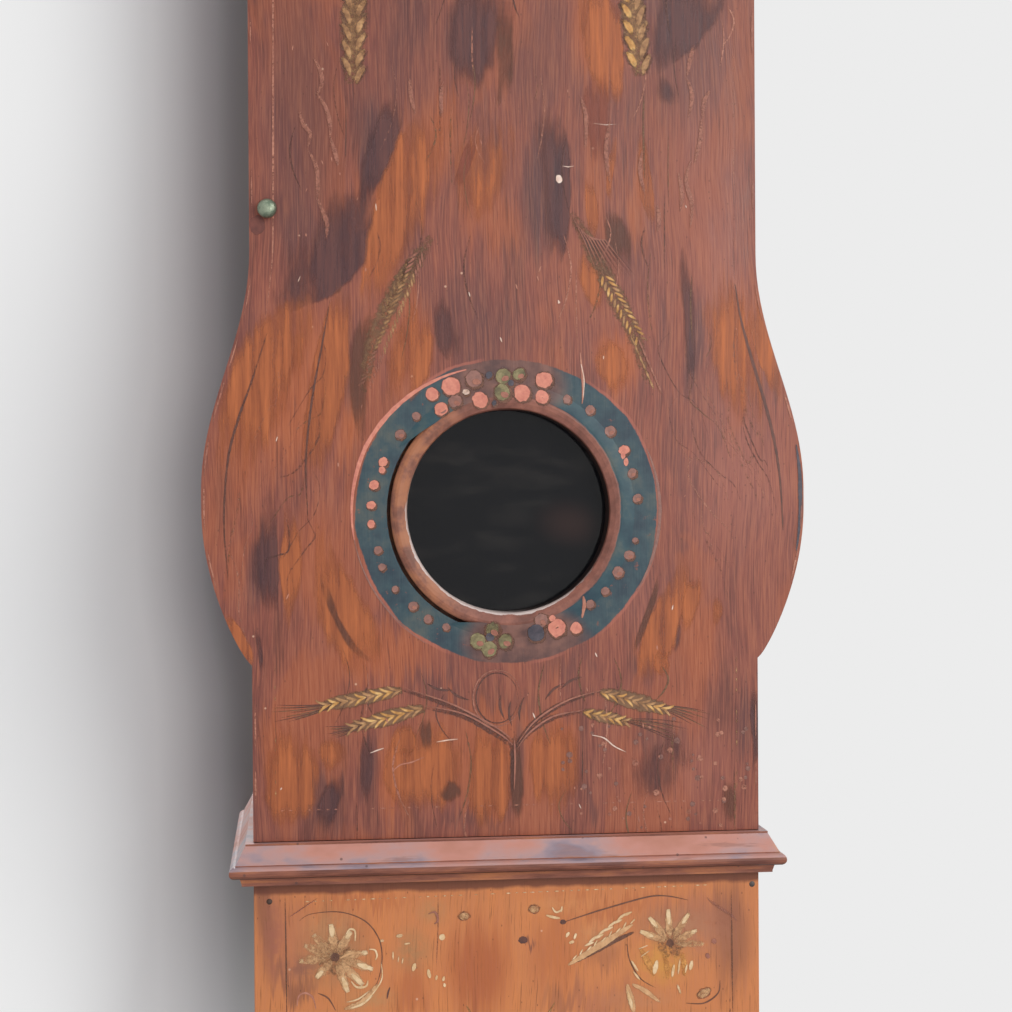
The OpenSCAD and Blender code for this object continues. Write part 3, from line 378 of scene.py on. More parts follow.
dark_door = blooms_at(
    FACE,
    (378, 148, 26, 66, -16, 0.95), (300, 225, 44, 62, -28, 0.75), (548, 185, 24, 88, 3, 0.95),
    (468, 30, 26, 70, 8, 0.75), (690, 14, 50, 44, 20, 0.8), (262, 575, 14, 52, 4, 0.75),
    (322, 812, 36, 38, -24, 0.8), (366, 772, 15, 44, 2, 0.7), (296, 40, 44, 70, 0, 0.35),
    (468, 300, 44, 52, 0, 0.5), (688, 350, 13, 66, 2, 0.6), (664, 735, 46, 26, 12, 0.65),
    (746, 715, 12, 52, 0, 0.65), (512, 760, 9, 66, 0, 0.7), (432, 690, 52, 18, 8, 0.5),
    (590, 800, 10, 20, 0, 0.6), (402, 60, 12, 66, 6, 0.5), (640, 100, 18, 40, 0, 0.45),
    (605, 270, 16, 46, 0, 0.4), (350, 360, 15, 66, 8, 0.55), (500, 700, 60, 16, 0, 0.4),
    (230, 500, 16, 60, 0, 0.35), (560, 660, 50, 20, 0, 0.45), (470, 815, 60, 12, 0, 0.45),
    (325, -120, 44, 90, 12, 0.7), (520, -220, 30, 120, 0, 0.8), (640, -330, 40, 90, -8, 0.6),
    (400, -420, 34, 90, 8, 0.7), (680, -160, 22, 90, 0, 0.6), (300, -520, 60, 60, 0, 0.5),
    (300, 130, 56, 210, 0, 0.62), (480, 330, 66, 70, 0, 0.42), (545, 60, 40, 90, 0, 0.42),
    (690, 60, 66, 90, 0, 0.45), (420, 20, 60, 90, 0, 0.34), (620, 250, 50, 60, 0, 0.30),
)
warm_door = blooms_at(
    FACE,
    (480, 740, 110, 70, 0, 0.6), (330, 700, 70, 120, 0, 0.25),
    (398, 200, 24, 100, 12, 0.9), (448, 140, 34, 62, 0, 0.7), (592, 34, 24, 74, 0, 0.9),
    (300, 400, 44, 120, 14, 0.75), (352, 400, 14, 110, 12, 0.8), (242, 470, 34, 130, 14, 0.6),
    (612, 368, 30, 42, 0, 0.9), (733, 330, 24, 90, -14, 0.75), (758, 330, 12, 66, -14, 0.7),
    (380, 655, 66, 44, 0, 0.7), (394, 772, 26, 60, 0, 0.8), (480, 770, 40, 66, 0, 0.8),
    (282, 760, 20, 66, 0, 0.65), (562, 735, 22, 44, 0, 0.8), (648, 655, 22, 26, 0, 0.7),
    (638, 205, 12, 60, 0, 0.8), (600, 180, 14, 66, 0, 0.65), (500, 215, 50, 40, 0, 0.55),
    (412, 340, 30, 66, 8, 0.6), (320, 560, 36, 80, 0, 0.55), (700, 640, 36, 66, 0, 0.4),
    (420, -160, 50, 120, 6, 0.75), (600, -120, 36, 130, 0, 0.7), (340, -350, 40, 110, 0, 0.6),
    (560, -480, 44, 90, 0, 0.7), (700, -420, 30, 110, 0, 0.55),
)
rosy_door = blooms_at(
    FACE,
    (706, 200, 62, 190, 0, 0.62), (740, 480, 80, 130, 0, 0.80), (690, 760, 80, 60, 0, 0.55),
    (480, 440, 60, 40, 0, 0.3), (270, 120, 22, 120, 0, 0.35), (630, 600, 50, 60, 0, 0.5),
)

door_paint = grained("door_paint", 0.0, dark_door, warm_door, rosy_door, shine=0.36, flames=0.32)


def ring_field(s):
    """The teal band's colour round the window, with a brown field at its top and bottom."""
    blue = s.ramp(
        s.noise(s.place, 42, 4, 0.6),
        (0.35, ink(34, 58, 70)), (0.50, ink(48, 74, 82)), (0.66, ink(78, 88, 86)),
    )
    brown = s.ramp(s.noise(s.place, 70, 3), (0.35, ink(84, 60, 58)), (0.65, ink(126, 88, 78)))
    top = s.blob(s.place, 0.000, WINDOW[1] + 0.100, 0.054, 0.036, 0, 0.35)
    low = s.blob(s.place, 0.014, WINDOW[1] - 0.104, 0.058, 0.036, 0, 0.35)
    return s.mix(s.most([top, low]), blue, brown)


# the radius of the teal band and of the pink line round it, and how soft their edges are
BAND_R, LINE_R, BLUR = 0.1194, 0.1218, 0.0006


def ring_on_door(s):
    """The band round the window, with worn edges and a pink line along part of it."""
    _, y, z = s.axes()
    outside = s.math("LESS_THAN", y, FACE + 0.006)
    ground = s.mix(s.fit(z, 0.88, 1.02, 0.0, 0.15), s.colour, ink(84, 46, 38))
    wander = s.math("MULTIPLY", s.math("SUBTRACT", s.noise(s.place, 26, 2), 0.5), 0.0055)
    ragged = s.math("MULTIPLY", s.math("SUBTRACT", s.noise(s.place, 260, 2), 0.5), 0.0016)
    far = s.math("ADD", s.around(WINDOW)[2], s.math("ADD", wander, ragged))
    band = s.fit(far, BAND_R + BLUR, BAND_R - BLUR)
    rim = s.math("MULTIPLY", s.fit(far, LINE_R + BLUR, LINE_R - BLUR),
                 s.fit(far, BAND_R - BLUR, BAND_R + BLUR))
    worn = s.fit(s.noise(s.place, 130, 4, 0.7), 0.62, 0.70, 0.96, 0.35)
    colour = s.mix(s.math("MULTIPLY", s.math("MULTIPLY", band, worn), outside), ground, ring_field(s))
    pink = s.fit(s.noise(s.moved(s.place, shift=(0.3, 0, 0.1)), 9, 2), 0.44, 0.56, 0.0, 0.5)
    s.colour = s.mix(s.math("MULTIPLY", s.math("MULTIPLY", rim, pink), outside), colour, ink(180, 106, 90))
    bare_inside(s, s.math("GREATER_THAN", y, DOOR[1].y - 0.0008))


ring_on_door(door_paint)

plinth_dark = blooms_at(
    PLINTH_FACE,
    (262, 925, 14, 80, 0, 0.55), (290, 985, 40, 16, 8, 0.55), (728, 940, 26, 90, 0, 0.55),
    (600, 940, 30, 26, 0, 0.30), (500, 1070, 90, 30, 0, 0.4), (300, 1150, 60, 50, 0, 0.45),
    (690, 1180, 70, 50, 0, 0.45), (480, 1260, 120, 30, 0, 0.4), (720, 930, 20, 60, 0, 0.3),
    (523, 940, 9, 6, 0, 0.7),
    (335, 950, 50, 44, 0, 0.28), (672, 925, 56, 26, 0, 0.25), (560, 1000, 30, 20, 0, 0.3),
)
plinth_warm = blooms_at(
    PLINTH_FACE,
    (475, 970, 44, 70, 0, 0.9), (548, 950, 40, 60, 0, 0.5), (600, 900, 80, 14, 0, 0.5),
    (350, 905, 70, 12, 0, 0.5), (410, 990, 26, 40, 0, 0.6), (380, 1200, 90, 80, 0, 0.5),
)
plinth_rosy = blooms_at(
    PLINTH_FACE,
    (690, 915, 80, 40, 0, 0.5), (285, 940, 40, 60, 0, 0.4), (600, 1000, 70, 30, 0, 0.4),
)
plinth_paint = grained(
    "plinth_paint", 4.0, plinth_dark, plinth_warm, plinth_rosy, tone=0.68, shine=0.42, flames=0.5)


def worn_fields(s, y, *rows):
    """Thin worn fields in the photograph's pixels: x, y, half width, half height, strength and colour."""
    for px, py, wide, tall, strength, tint in rows:
        x, z = spot(px, py, y)
        field = s.blob(s.place, x, z, wide * PX, tall * PX, 0, 1.0)
        wear = s.fit(s.noise(s.place, 150, 4, 0.65), 0.34, 0.56, strength * 0.35, strength)
        s.colour = s.mix(s.math("MULTIPLY", field, wear), s.colour, tint)


def shade_and_dirt_under(s, z):
    """Painted shade and dark dirt under a moulding with its lower edge at the height z."""
    height = s.math("ADD", s.axes()[2], s.math("MULTIPLY", s.noise(s.place, 60, 3), 0.006))
    shade_and_dirt = s.fit(height, z - 0.0062, z - 0.0022, 0.0, 0.85)
    s.surface(Base_Color=s.mix(shade_and_dirt, s.colour, ink(98, 52, 40)))


worn_fields(
    plinth_paint, PLINTH_FACE,
    (334, 955, 52, 46, 0.85, ink(168, 122, 84)), (412, 950, 28, 32, 0.85, ink(166, 120, 80)),
    (330, 925, 44, 26, 0.5, ink(186, 134, 92)), (700, 930, 52, 50, 0.75, ink(170, 112, 86)),
    (672, 925, 50, 26, 0.6, ink(178, 128, 92)), (662, 962, 40, 34, 1.0, ink(204, 142, 70)),
    (274, 940, 17, 70, 0.8, ink(158, 96, 76)), (300, 968, 30, 18, 0.7, ink(126, 82, 70)),
    (432, 912, 22, 20, 0.7, ink(176, 128, 86)), (560, 905, 60, 14, 0.5, ink(206, 140, 88)),
    (600, 935, 40, 22, 0.5, ink(196, 140, 96)), (370, 1000, 40, 20, 0.7, ink(180, 132, 88)),
    (640, 1000, 60, 18, 0.6, ink(186, 126, 88)),
)
# painted shade and dark dirt on the plinth under the waist moulding
shade_and_dirt_under(plinth_paint, spot(506, 879, PLINTH_FACE)[1])
case_paint = grained("case_paint", 7.0, shine=0.54)
side_paint = grained("side_paint", 7.0, shine=0.54)
hood_side_paint = grained("hood_side_paint", 13.0, shine=0.44)
for paint, inner in ((side_paint, -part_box("side_left")[1].x), (hood_side_paint, 0.202)):
    bare_inside(paint, paint.math("LESS_THAN", paint.math("ABSOLUTE", paint.axes()[0]), inner + 0.0006))
hood_paint = grained(
    "hood_paint", 11.0,
    [(-0.17, HOOD[0].z + 0.30, 0.03, 0.10, 6, 0.8), (0.17, HOOD[0].z + 0.12, 0.03, 0.09, -4, 0.8),
     (0.0, HOOD[1].z - 0.02, 0.06, 0.02, 0, 0.6), (0.10, CREST[0].z + 0.06, 0.05, 0.03, 20, 0.7),
     (-0.12, CREST[0].z + 0.05, 0.05, 0.03, -20, 0.6)],
    [(-0.18, HOOD[0].z + 0.12, 0.03, 0.10, 0, 0.7), (0.18, HOOD[0].z + 0.33, 0.03, 0.10, 0, 0.7),
     (0.0, CREST[0].z + 0.05, 0.05, 0.05, 0, 0.8)],
    shine=0.40,
)


def bezel_paint():
    """Brown paint on the turned ring, pale along the bottom of its inner edge, teal where the band runs on,
    and painted shade on the inner wall at the right.
    """
    s = Shader("bezel_paint", Specular_IOR_Level=0.32)
    x, z, far = s.around(BEZEL_AT)
    mottle = s.noise(s.place, 62, 4, 0.65)
    colour = s.ramp(mottle, (0.35, ink(108, 68, 58)), (0.52, ink(132, 84, 72)), (0.68, ink(154, 100, 84)))
    left = s.fit(x, -0.02, -0.07)
    colour = s.mix(s.math("MULTIPLY", left, s.fit(mottle, 0.4, 0.6, 0.1, 0.7)), colour, ink(172, 112, 76))
    ragged = s.math("ADD", far, s.math("MULTIPLY", s.math("SUBTRACT", mottle, 0.5), 0.006))
    outer = s.fit(ragged, BEZEL_R - 0.0046, BEZEL_R - 0.0034)
    side = s.fit(x, 0.045, 0.062)
    colour = s.mix(s.math("MULTIPLY", outer, side), colour, ring_field(s))
    # pale along the bottom of the opening's inner edge
    low = s.fit(s.math("ADD", z, s.math("MULTIPLY", x, 0.45)), 0.015, -0.070)
    reach = s.math("ADD", s.math("MULTIPLY", low, 0.0018), 0.0803)
    rim = s.math("MULTIPLY", s.math("LESS_THAN", ragged, reach), low)
    colour = s.mix(s.math("MULTIPLY", rim, 0.9), colour, ink(206, 190, 184))
    # painted shade: the inner wall of the opening is darkened almost to black on the right
    deep = s.math("MULTIPLY", s.math("LESS_THAN", far, 0.0802), s.fit(x, -0.02, 0.02))
    colour = s.mix(deep, colour, ink(40, 27, 25))
    s.surface(Base_Color=colour, Roughness=0.46)
    s.bumped(mottle, 0.3, 0.0008)
    return s


def moulding_paint():
    """Gloss paint: pink with a painted sky reflection where a face leans back to the sky, brown on the nose,
    painted shade where a face turns down, worn at the ends.
    """
    s = Shader("moulding_paint", Specular_IOR_Level=0.3)
    lean = s.axes(s.node("ShaderNodeNewGeometry").outputs["Normal"])[2]
    x, y, _ = s.axes()
    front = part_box("waist_moulding")[0].y
    long = s.noise(s.moved(s.place, scale=(0.12, 1, 1)), 130, 4, 0.65)
    patch = s.noise(s.moved(s.place, scale=(0.5, 1, 1)), 24, 4, 0.6)
    brown = s.ramp(long, (0.33, ink(104, 62, 52)), (0.52, ink(142, 88, 70)), (0.70, ink(178, 112, 74)))
    # painted shade: faces that turn down are darkened
    brown = s.mix(s.fit(lean, -0.40, -0.80), brown, ink(80, 46, 38))
    # the pink of the paint, with a painted sky reflection in cool violet tones, on faces that lean up
    pink_with_sky_reflection = s.ramp(
        patch, (0.34, ink(146, 138, 152)), (0.44, ink(184, 146, 142)), (0.56, ink(196, 138, 124)),
        (0.70, ink(184, 126, 108)),
    )
    pink_with_sky_reflection = s.mix(s.fit(long, 0.58, 0.68, 0.0, 0.6), pink_with_sky_reflection, ink(150, 108, 98))
    top = s.math("MULTIPLY", s.fit(lean, 0.20, 0.42), s.fit(patch, 0.28, 0.40, 0.55, 0.95))
    colour = s.mix(top, brown, pink_with_sky_reflection)
    ends = s.math("MULTIPLY", s.fit(s.math("ABSOLUTE", x), 0.206, 0.2165), s.fit(patch, 0.42, 0.58))
    corner = s.fit(y, front + 0.026, front + 0.008, 0.0, 0.7)
    colour = s.mix(s.math("MULTIPLY", ends, corner), colour, ink(214, 168, 120))
    chips = s.cells(s.place, 70)
    colour = s.mix(s.fit(chips, 0.10, 0.05, 0.0, 0.7), colour, ink(86, 62, 60))
    s.surface(Base_Color=colour, Roughness=s.fit(patch, 0.35, 0.65, 0.40, 0.55))
    s.bumped(s.math("ADD", long, s.noise(s.place, 300, 2)), 0.25, 0.0006)
    return s


def bare_wood(name, light, dark, along="z", rough=0.7):
    """Unpainted wood with its grain along one axis, darker patches of age and a few knots."""
    s = Shader(name, Roughness=rough)
    squash = {"z": (1, 1, 0.05), "x": (0.05, 1, 1), "y": (1, 0.05, 1)}[along]
    grain = s.noise(s.moved(s.place, scale=squash), 160, 5, 0.65, 0.4)
    age = s.noise(s.place, 7, 3)
    colour = s.ramp(grain, (0.32, dark), (0.55, light), (0.75, dark))
    colour = s.mix(s.fit(age, 0.42, 0.62, 0.0, 0.45), colour, ink(84, 66, 50))
    knots = s.cells(s.moved(s.place, scale=(1, 1, 0.45)), 5)
    colour = s.mix(s.fit(knots, 0.12, 0.06, 0.0, 0.8), colour, ink(66, 44, 30))
    s.surface(Base_Color=colour)
    s.bumped(grain, 0.4, 0.0008)
    return s


# Metals, glass, enamel, cord


def metal(name, clean, tarnish, rough=0.3, spots=40, share=0.5, grain=0.25):
    """A metal that is tarnished in spots over a share of its face."""
    s = Shader(name, Metallic=1.0)
    wear = s.noise(s.place, spots, 4, 0.62)
    fine = s.noise(s.place, spots * 14, 3, 0.6)
    s.surface(
        Base_Color=s.mix(s.fit(wear, 0.42, 0.64, 0.0, share), clean, tarnish),
        Roughness=s.fit(wear, 0.35, 0.7, rough, min(0.9, rough + 0.3)),
    )
    s.bumped(fine, grain, 0.0003)
    return s


iron = metal("black_iron", ink(86, 82, 80), ink(92, 58, 42), 0.48, 60, 0.7, 0.6)
weight_iron = metal("weight_iron", ink(70, 68, 68), ink(86, 60, 46), 0.55, 24, 0.6, 0.9)
steel = metal("steel", ink(190, 190, 194), ink(120, 108, 98), 0.26, 70, 0.5)
brass = metal("wheel_brass", ink(214, 176, 104), ink(150, 112, 60), 0.24, 50, 0.5)
sheet_brass = metal("sheet_brass", ink(196, 158, 94), ink(156, 120, 70), 0.34, 34, 0.55, 0.5)
old_brass = metal("old_brass", ink(112, 86, 52), ink(52, 42, 34), 0.42, 30, 0.8)
bell_metal = metal("bell_metal", ink(200, 164, 104), ink(116, 92, 64), 0.30, 20, 0.6)
patina = metal("patina_brass", ink(132, 140, 122), ink(100, 114, 98), 0.38, 160, 0.8, 0.5)
hand_black = Shader("hand_black", Metallic=0.6, Specular_IOR_Level=0.5)
hand_wear = hand_black.noise(hand_black.place, 300, 3)
hand_black.surface(
    Base_Color=hand_black.ramp(hand_wear, (0.4, ink(24, 24, 32)), (0.7, ink(52, 50, 58))),
    Roughness=hand_black.fit(hand_wear, 0.3, 0.7, 0.25, 0.5),
)


def glass(name, tint, clear, cloud=0.0, shine=0.5):
    """Thin old glass: mostly see-through by alpha, with a wavy shine."""
    s = Shader(name, Specular_IOR_Level=shine)
    wave = s.noise(s.place, 18, 2)
    film = s.noise(s.moved(s.place, scale=(0.5, 1, 1.6)), 30, 4, 0.6)
    s.colour = s.mix(s.fit(film, 0.5, 0.7, 0.0, cloud), tint, ink(120, 112, 104))
    s.surface(Base_Color=s.colour, Roughness=s.fit(film, 0.4, 0.7, 0.03, 0.12), Alpha=clear)
    s.bumped(wave, 0.12, 0.002)
    s.material.surface_render_method = "BLENDED"
    return s


# the window's glass is tinted almost black and nearly opaque: painted shade that stands for the dark inside
# of the case
window_glass = glass("dark_glass", ink(17, 17, 20), 0.86, 0.06, 0.16)
patch_x, patch_z = spot(574, 524)
warm = window_glass.blob(window_glass.place, patch_x, patch_z, 0.036, 0.024, 10, 0.95)
window_glass.surface(Base_Color=window_glass.mix(
    window_glass.math("MULTIPLY", warm, 0.5), window_glass.colour, ink(66, 46, 42)))
hood_glass = glass("clear_glass", ink(150, 160, 158), 0.10, 0.3)

enamel = Shader("enamel", Specular_IOR_Level=0.55, Roughness=0.14)
craze = enamel.cells(enamel.place, 46, "DISTANCE_TO_EDGE")
enamel_tone = enamel.ramp(
    enamel.noise(enamel.place, 16, 4), (0.35, ink(226, 222, 206)), (0.6, ink(240, 238, 228)))
hair = enamel.math("MULTIPLY", enamel.fit(craze, 0.012, 0.004), enamel.fit(
    enamel.noise(enamel.place, 12, 2), 0.54, 0.64))
enamel.surface(Base_Color=enamel.mix(enamel.math("MULTIPLY", hair, 0.5), enamel_tone, ink(150, 138, 116)))

gut = Shader("gut_cord", Roughness=0.6, Specular_IOR_Level=0.4)
twist = gut.noise(gut.moved(gut.place, scale=(1, 1, 0.6)), 900, 3)
gut.surface(Base_Color=gut.ramp(twist, (0.35, ink(130, 102, 64)), (0.65, ink(196, 164, 116))))
gut.bumped(twist, 0.5, 0.0003)

pine = bare_wood("bare_pine", ink(168, 128, 86), ink(128, 90, 58))
pine_flat = bare_wood("bare_pine_across", ink(160, 122, 84), ink(120, 86, 56), "x")
beech = bare_wood("turned_beech", ink(186, 140, 92), ink(150, 106, 66), "y", 0.5)

# Materials onto the solids

FINISH = {
    door_paint: ["trunk_door"],
    plinth_paint: ["plinth_front"],
    case_paint: ["head_rail"],
    side_paint: ["side_left", "side_right"],
    hood_side_paint: ["hood_sides"],
    hood_paint: ["hood_door_frame", "crest"],
    pine: ["back_planks"],
    pine_flat: ["plinth_floor", "seat_board", "door_battens", "hood_roof"],
    moulding_paint(): ["foot_moulding", "waist_moulding", "neck_moulding", "cornice"],
    bezel_paint(): ["window_bezel"],
    window_glass: ["window_glass"],
    hood_glass: ["hood_glass", "hood_side_glass"],
    iron: ["fixed_hinge_leaves", "door_hinge_leaves", "hood_hinge_leaves", "latch_tongue",
           "movement_cage", "dial_plate"],
    weight_iron: ["going_weight", "strike_weight"],
    steel: ["pivot_strips", "bell_stand", "pendulum_rod", "suspension_spring", "anchor", "hammer"],
    brass: ["suspension_cock", "rating_nut", "cannon_pinion", "hour_wheel", "minute_wheel",
            "centre_wheel", "third_wheel", "escape_wheel", "going_great_wheel",
            "strike_great_wheel", "pin_wheel", "warning_wheel", "fly"],
    beech: ["going_drum", "strike_drum"],
    sheet_brass: ["brass_surround"],
    old_brass: ["pendulum_bob"],
    bell_metal: ["bell"],
    patina: ["door_knob", "hood_latch"],
    enamel: ["enamel_dial"],
    hand_black: ["minute_hand", "hour_hand"],
    gut: ["going_cord", "strike_cord"],
}
for shader, names in FINISH.items():
    for name in names:
        slots = nodes[name].data.materials
        slots.clear()
        slots.append(shader.material)

# worn arrises on the boards: the modifiers leave the solid's own mesh as it is
ARRIS = {
    "trunk_door": 0.0014, "plinth_front": 0.0012, "side_left": 0.0008, "side_right": 0.0012,
    "head_rail": 0.001, "hood_door_frame": 0.0014, "hood_sides": 0.001, "crest": 0.0016,
    "hood_roof": 0.001, "back_planks": 0.001, "seat_board": 0.001, "door_battens": 0.0016,
    "plinth_floor": 0.001,
}
for name, width in ARRIS.items():
    node = nodes[name]
    weld = node.modifiers.new("weld", "WELD")
    weld.merge_threshold = 0.00002
    arris = node.modifiers.new("arris", "BEVEL")
    arris.width, arris.segments, arris.limit_method = width, 3, "ANGLE"
    arris.angle_limit = math.radians(40)
    arris.use_clamp_overlap = True
    arris.miter_outer = "MITER_ARC"
    shade = node.modifiers.new("shade", "WEIGHTED_NORMAL")
    shade.keep_sharp = False

# Brush strokes


def mesh_piece(name, vertices, faces, material, cover=None, smooth=False):
    """An object made of these faces. cover says for each corner how thick the paint lies there."""
    mesh = bpy.data.meshes.new(name)
    mesh.from_pydata(vertices, [], faces)
    mesh.materials.append(material)
    if cover is not None:
        mesh.attributes.new("cover", "FLOAT", "POINT").data.foreach_set("value", cover)
    if smooth:
        mesh.polygons.foreach_set("use_smooth", [True] * len(mesh.polygons))
    mesh.update()
    piece = bpy.data.objects.new(name, mesh)
    scene.collection.objects.link(piece)
    return piece


def paint_material(name, *tones, worn=0.5, scale=160):
    """Thin old paint, thick where a stroke's cover is high and broken up where it is low."""
    s = Shader(name, Roughness=0.5, Specular_IOR_Level=0.4)
    drag = s.noise(s.place, scale, 4, 0.65)
    stops = [(0.34 + 0.32 * i / (len(tones) - 1), tone) for i, tone in enumerate(tones)]
    cover = s.node("ShaderNodeAttribute", attribute_name="cover").outputs["Fac"]
    loss = s.math("MULTIPLY", s.math("SUBTRACT", s.noise(s.place, 420, 3, 0.7), 0.5), worn * 1.6)
    s.surface(Base_Color=s.ramp(drag, *stops), Alpha=s.fit(s.math("ADD", cover, loss), 0.12, 0.62))
    s.material.surface_render_method = "BLENDED"
    return s.material


def smooth(points, steps):
    """The points of a smooth curve through the given ones, which may carry more than a place."""
    path, last = [], len(points) - 1
    for i in range(last):
        p0, p1, p2, p3 = points[max(0, i - 1)], points[i], points[i + 1], points[min(last, i + 2)]
        for k in range(steps if i < last - 1 else steps + 1):
            t = k / steps
            path.append(tuple(
                0.5 * (2 * b + (c - a) * t + (2 * a - 5 * b + 4 * c - d) * t * t
                       + (3 * b - a - 3 * c + d) * t ** 3)
                for a, b, c, d in zip(p0, p1, p2, p3)))
    return path


def straight(start, end, steps):
    """Points in equal steps on the straight line between two points."""
    (x0, z0), (x1, z1) = start, end
    return [(x0 + (x1 - x0) * i / steps, z0 + (z1 - z0) * i / steps) for i in range(steps + 1)]


def polar(centre, r, angle):
    """The point at a distance and an angle from a centre, in degrees from +X towards +Z."""
    a = math.radians(angle)
    return centre[0] + r * math.cos(a), centre[1] + r * math.sin(a)


def left_of(path, i):
    """The direction to the left of a path at its point i."""
    before, after = path[max(0, i - 1)], path[min(len(path) - 1, i + 1)]
    dx, dz = after[0] - before[0], after[1] - before[1]
    size = math.hypot(dx, dz) or 1
    return -dz / size, dx / size


def fan(first, steps, rings):
    """The faces of a disc: a corner in the middle, then rings of corners round it."""
    faces = []
    for i in range(steps):
        j = (i + 1) % steps
        faces.append((first, first + 1 + i, first + 1 + j))
        for ring in range(rings - 1):
            a, b = first + 1 + ring * steps, first + 1 + (ring + 1) * steps
            faces.append((a + i, b + i, b + j, a + j))
    return faces


# how much farther out each stroke lies than the one before, so that no two lie in one plane
COAT = 0.0000009


def front_at(x, z):
    """Where the door's front stands: the board, the turned ring, or a slope of paint over their joint."""
    off = math.hypot(x - BEZEL_AT[0], z - BEZEL_AT[1]) - BEZEL_R
    return BEZEL[0].y + (FACE - BEZEL[0].y) * min(1, max(0, off / JOINT))


def belly(t, out=0.0382, low=0.122, flat=0.013, high=0.187):
    """How far the ear stands out past the straight trunk at a height t above its foot."""
    if t <= 0 or t >= low + flat + high:
        return 0.0
    if t < low:
        return out * math.sin(math.pi / 2 * t / low) ** 0.78
    if t < low + flat:
        return out
    return out * (1 + math.cos(math.pi * (t - low - flat) / high)) / 2


def half_width(z):
    """Half the width of the trunk door at a height above the floor."""
    return HALF + belly(z - DOOR_Z - BELLY_UP)


def on_board(x, z):
    """The place on the trunk door that is nearest to (x, z) inside its outline."""
    z = min(max(z, DOOR[0].z), DOOR[1].z)
    half = half_width(z)
    return min(max(x, -half), half), z


class Brush:
    """Gathers flat strokes on one front plane into one mesh that rides on a body."""

    def __init__(self, name, body, material, y, lift, seed):
        self.name, self.body, self.material, self.front, self.lift = name, body, material, y, lift
        self.vertices, self.faces, self.cover, self.past = [], [], [], []
        self.chance = random.Random(seed)

    def put(self, x, z, thick):
        """One corner, on whatever stands foremost there. On the trunk door it is held inside the outline."""
        y, held = self.front, (x, z)
        if self.body == "trunk_door":
            held = on_board(x, z)
            y = front_at(*held)
        self.past.append(held != (x, z))
        x, z = held
        self.vertices.append((x, y - self.lift, z))
        self.cover.append(thick)

    def next_coat(self):
        """Starts a stroke in front of all those before it, and returns the number of its first corner."""
        self.lift += COAT
        return len(self.vertices)

    def ribbon(self, first, count):
        """The faces between rows of four corners."""
        for i in range(count - 1):
            for k in range(3):
                a = first + i * 4 + k
                self.faces.append((a, a + 1, a + 5, a + 4))

    def stroke(self, path, width, cover=1.0, ends=(0.25, 0.25), wobble=0.12):
        """A stroke along (x, z) points, thick in the middle and thinning to the ends' shares."""
        first, count = self.next_coat(), len(path)
        for i, (x, z) in enumerate(path):
            nx, nz = left_of(path, i)
            t = i / (count - 1)
            body = math.sin(math.pi * min(1, max(0, t))) ** 0.7
            edge = ends[0] * (1 - t) + ends[1] * t
            w = width / 2 * (edge + (1 - edge) * body) * (1 + self.chance.uniform(-wobble, wobble))
            for share, thick in ((-1, 0.0), (-0.55, 1.0), (0.55, 1.0), (1, 0.0)):
                self.put(x + nx * w * share, z + nz * w * share, thick * cover * (0.55 + 0.45 * body))
        self.ribbon(first, count)

    def band(self, points, cover, soft):
        """A glaze along (x, z, width) points, with its own softness on its left and right edge."""
        path = smooth(points, 6)
        first, count = self.next_coat(), len(path)
        shares = (-1, -1 + soft[0], 1 - soft[1], 1)
        for i, (x, z, width) in enumerate(path):
            nx, nz = left_of(path, i)
            w = width / 2 * (1 + self.chance.uniform(-0.05, 0.05))
            t = i / (count - 1)
            fade = min(1, 2.6 * min(t, 1 - t))
            for share, thick in zip(shares, (0, 1, 1, 0)):
                self.put(x + nx * w * share, z + nz * w * share, thick * cover * fade)
        self.ribbon(first, count)

    def curve(self, points, width, cover=1.0, steps=10, **more):
        """A stroke along a smooth curve through the (x, z) points."""
        self.stroke(smooth(points, steps), width, cover, **more)

    def leaf(self, at, angle, length, width, cover=1.0, bend=0.0):
        """A pointed dab that starts at a point. angle is in degrees from +X, turning towards +Z."""
        a = math.radians(angle)
        along, side = (math.cos(a), math.sin(a)), (-math.sin(a), math.cos(a))
        path = []
        for i in range(7):
            t = i / 6
            off = bend * length * math.sin(math.pi * t)
            path.append((at[0] + along[0] * length * t + side[0] * off,
                         at[1] + along[1] * length * t + side[1] * off))
        self.stroke(path, width, cover, ends=(0.15, 0.35))

    def dab(self, at, wide, tall=None, cover=1.0, lean=0.0):
        """A round dab with a ragged edge."""
        tall = tall or wide
        first, count = self.next_coat(), 20
        self.put(*at, cover)
        turn = math.radians(lean)
        edge = [1 + self.chance.uniform(-0.08, 0.08) for _ in range(count)]
        rings = ((0.4, cover), (0.8, cover), (1.0, 0.0))
        for ring, thick in rings:
            for i in range(count):
                a = 2 * math.pi * i / count
                u, v = wide * ring * edge[i] * math.cos(a), tall * ring * edge[i] * math.sin(a)
                self.put(at[0] + u * math.cos(turn) - v * math.sin(turn),
                         at[1] + u * math.sin(turn) + v * math.cos(turn), thick)
        self.faces += fan(first, count, len(rings))

    def done(self):
        """Makes the piece, without the faces that lie past the board's outline with all their corners."""
        faces = [face for face in self.faces if not all(self.past[i] for i in face)]
        piece = mesh_piece(self.name, self.vertices, faces, self.material, self.cover)
        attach(piece, self.body)


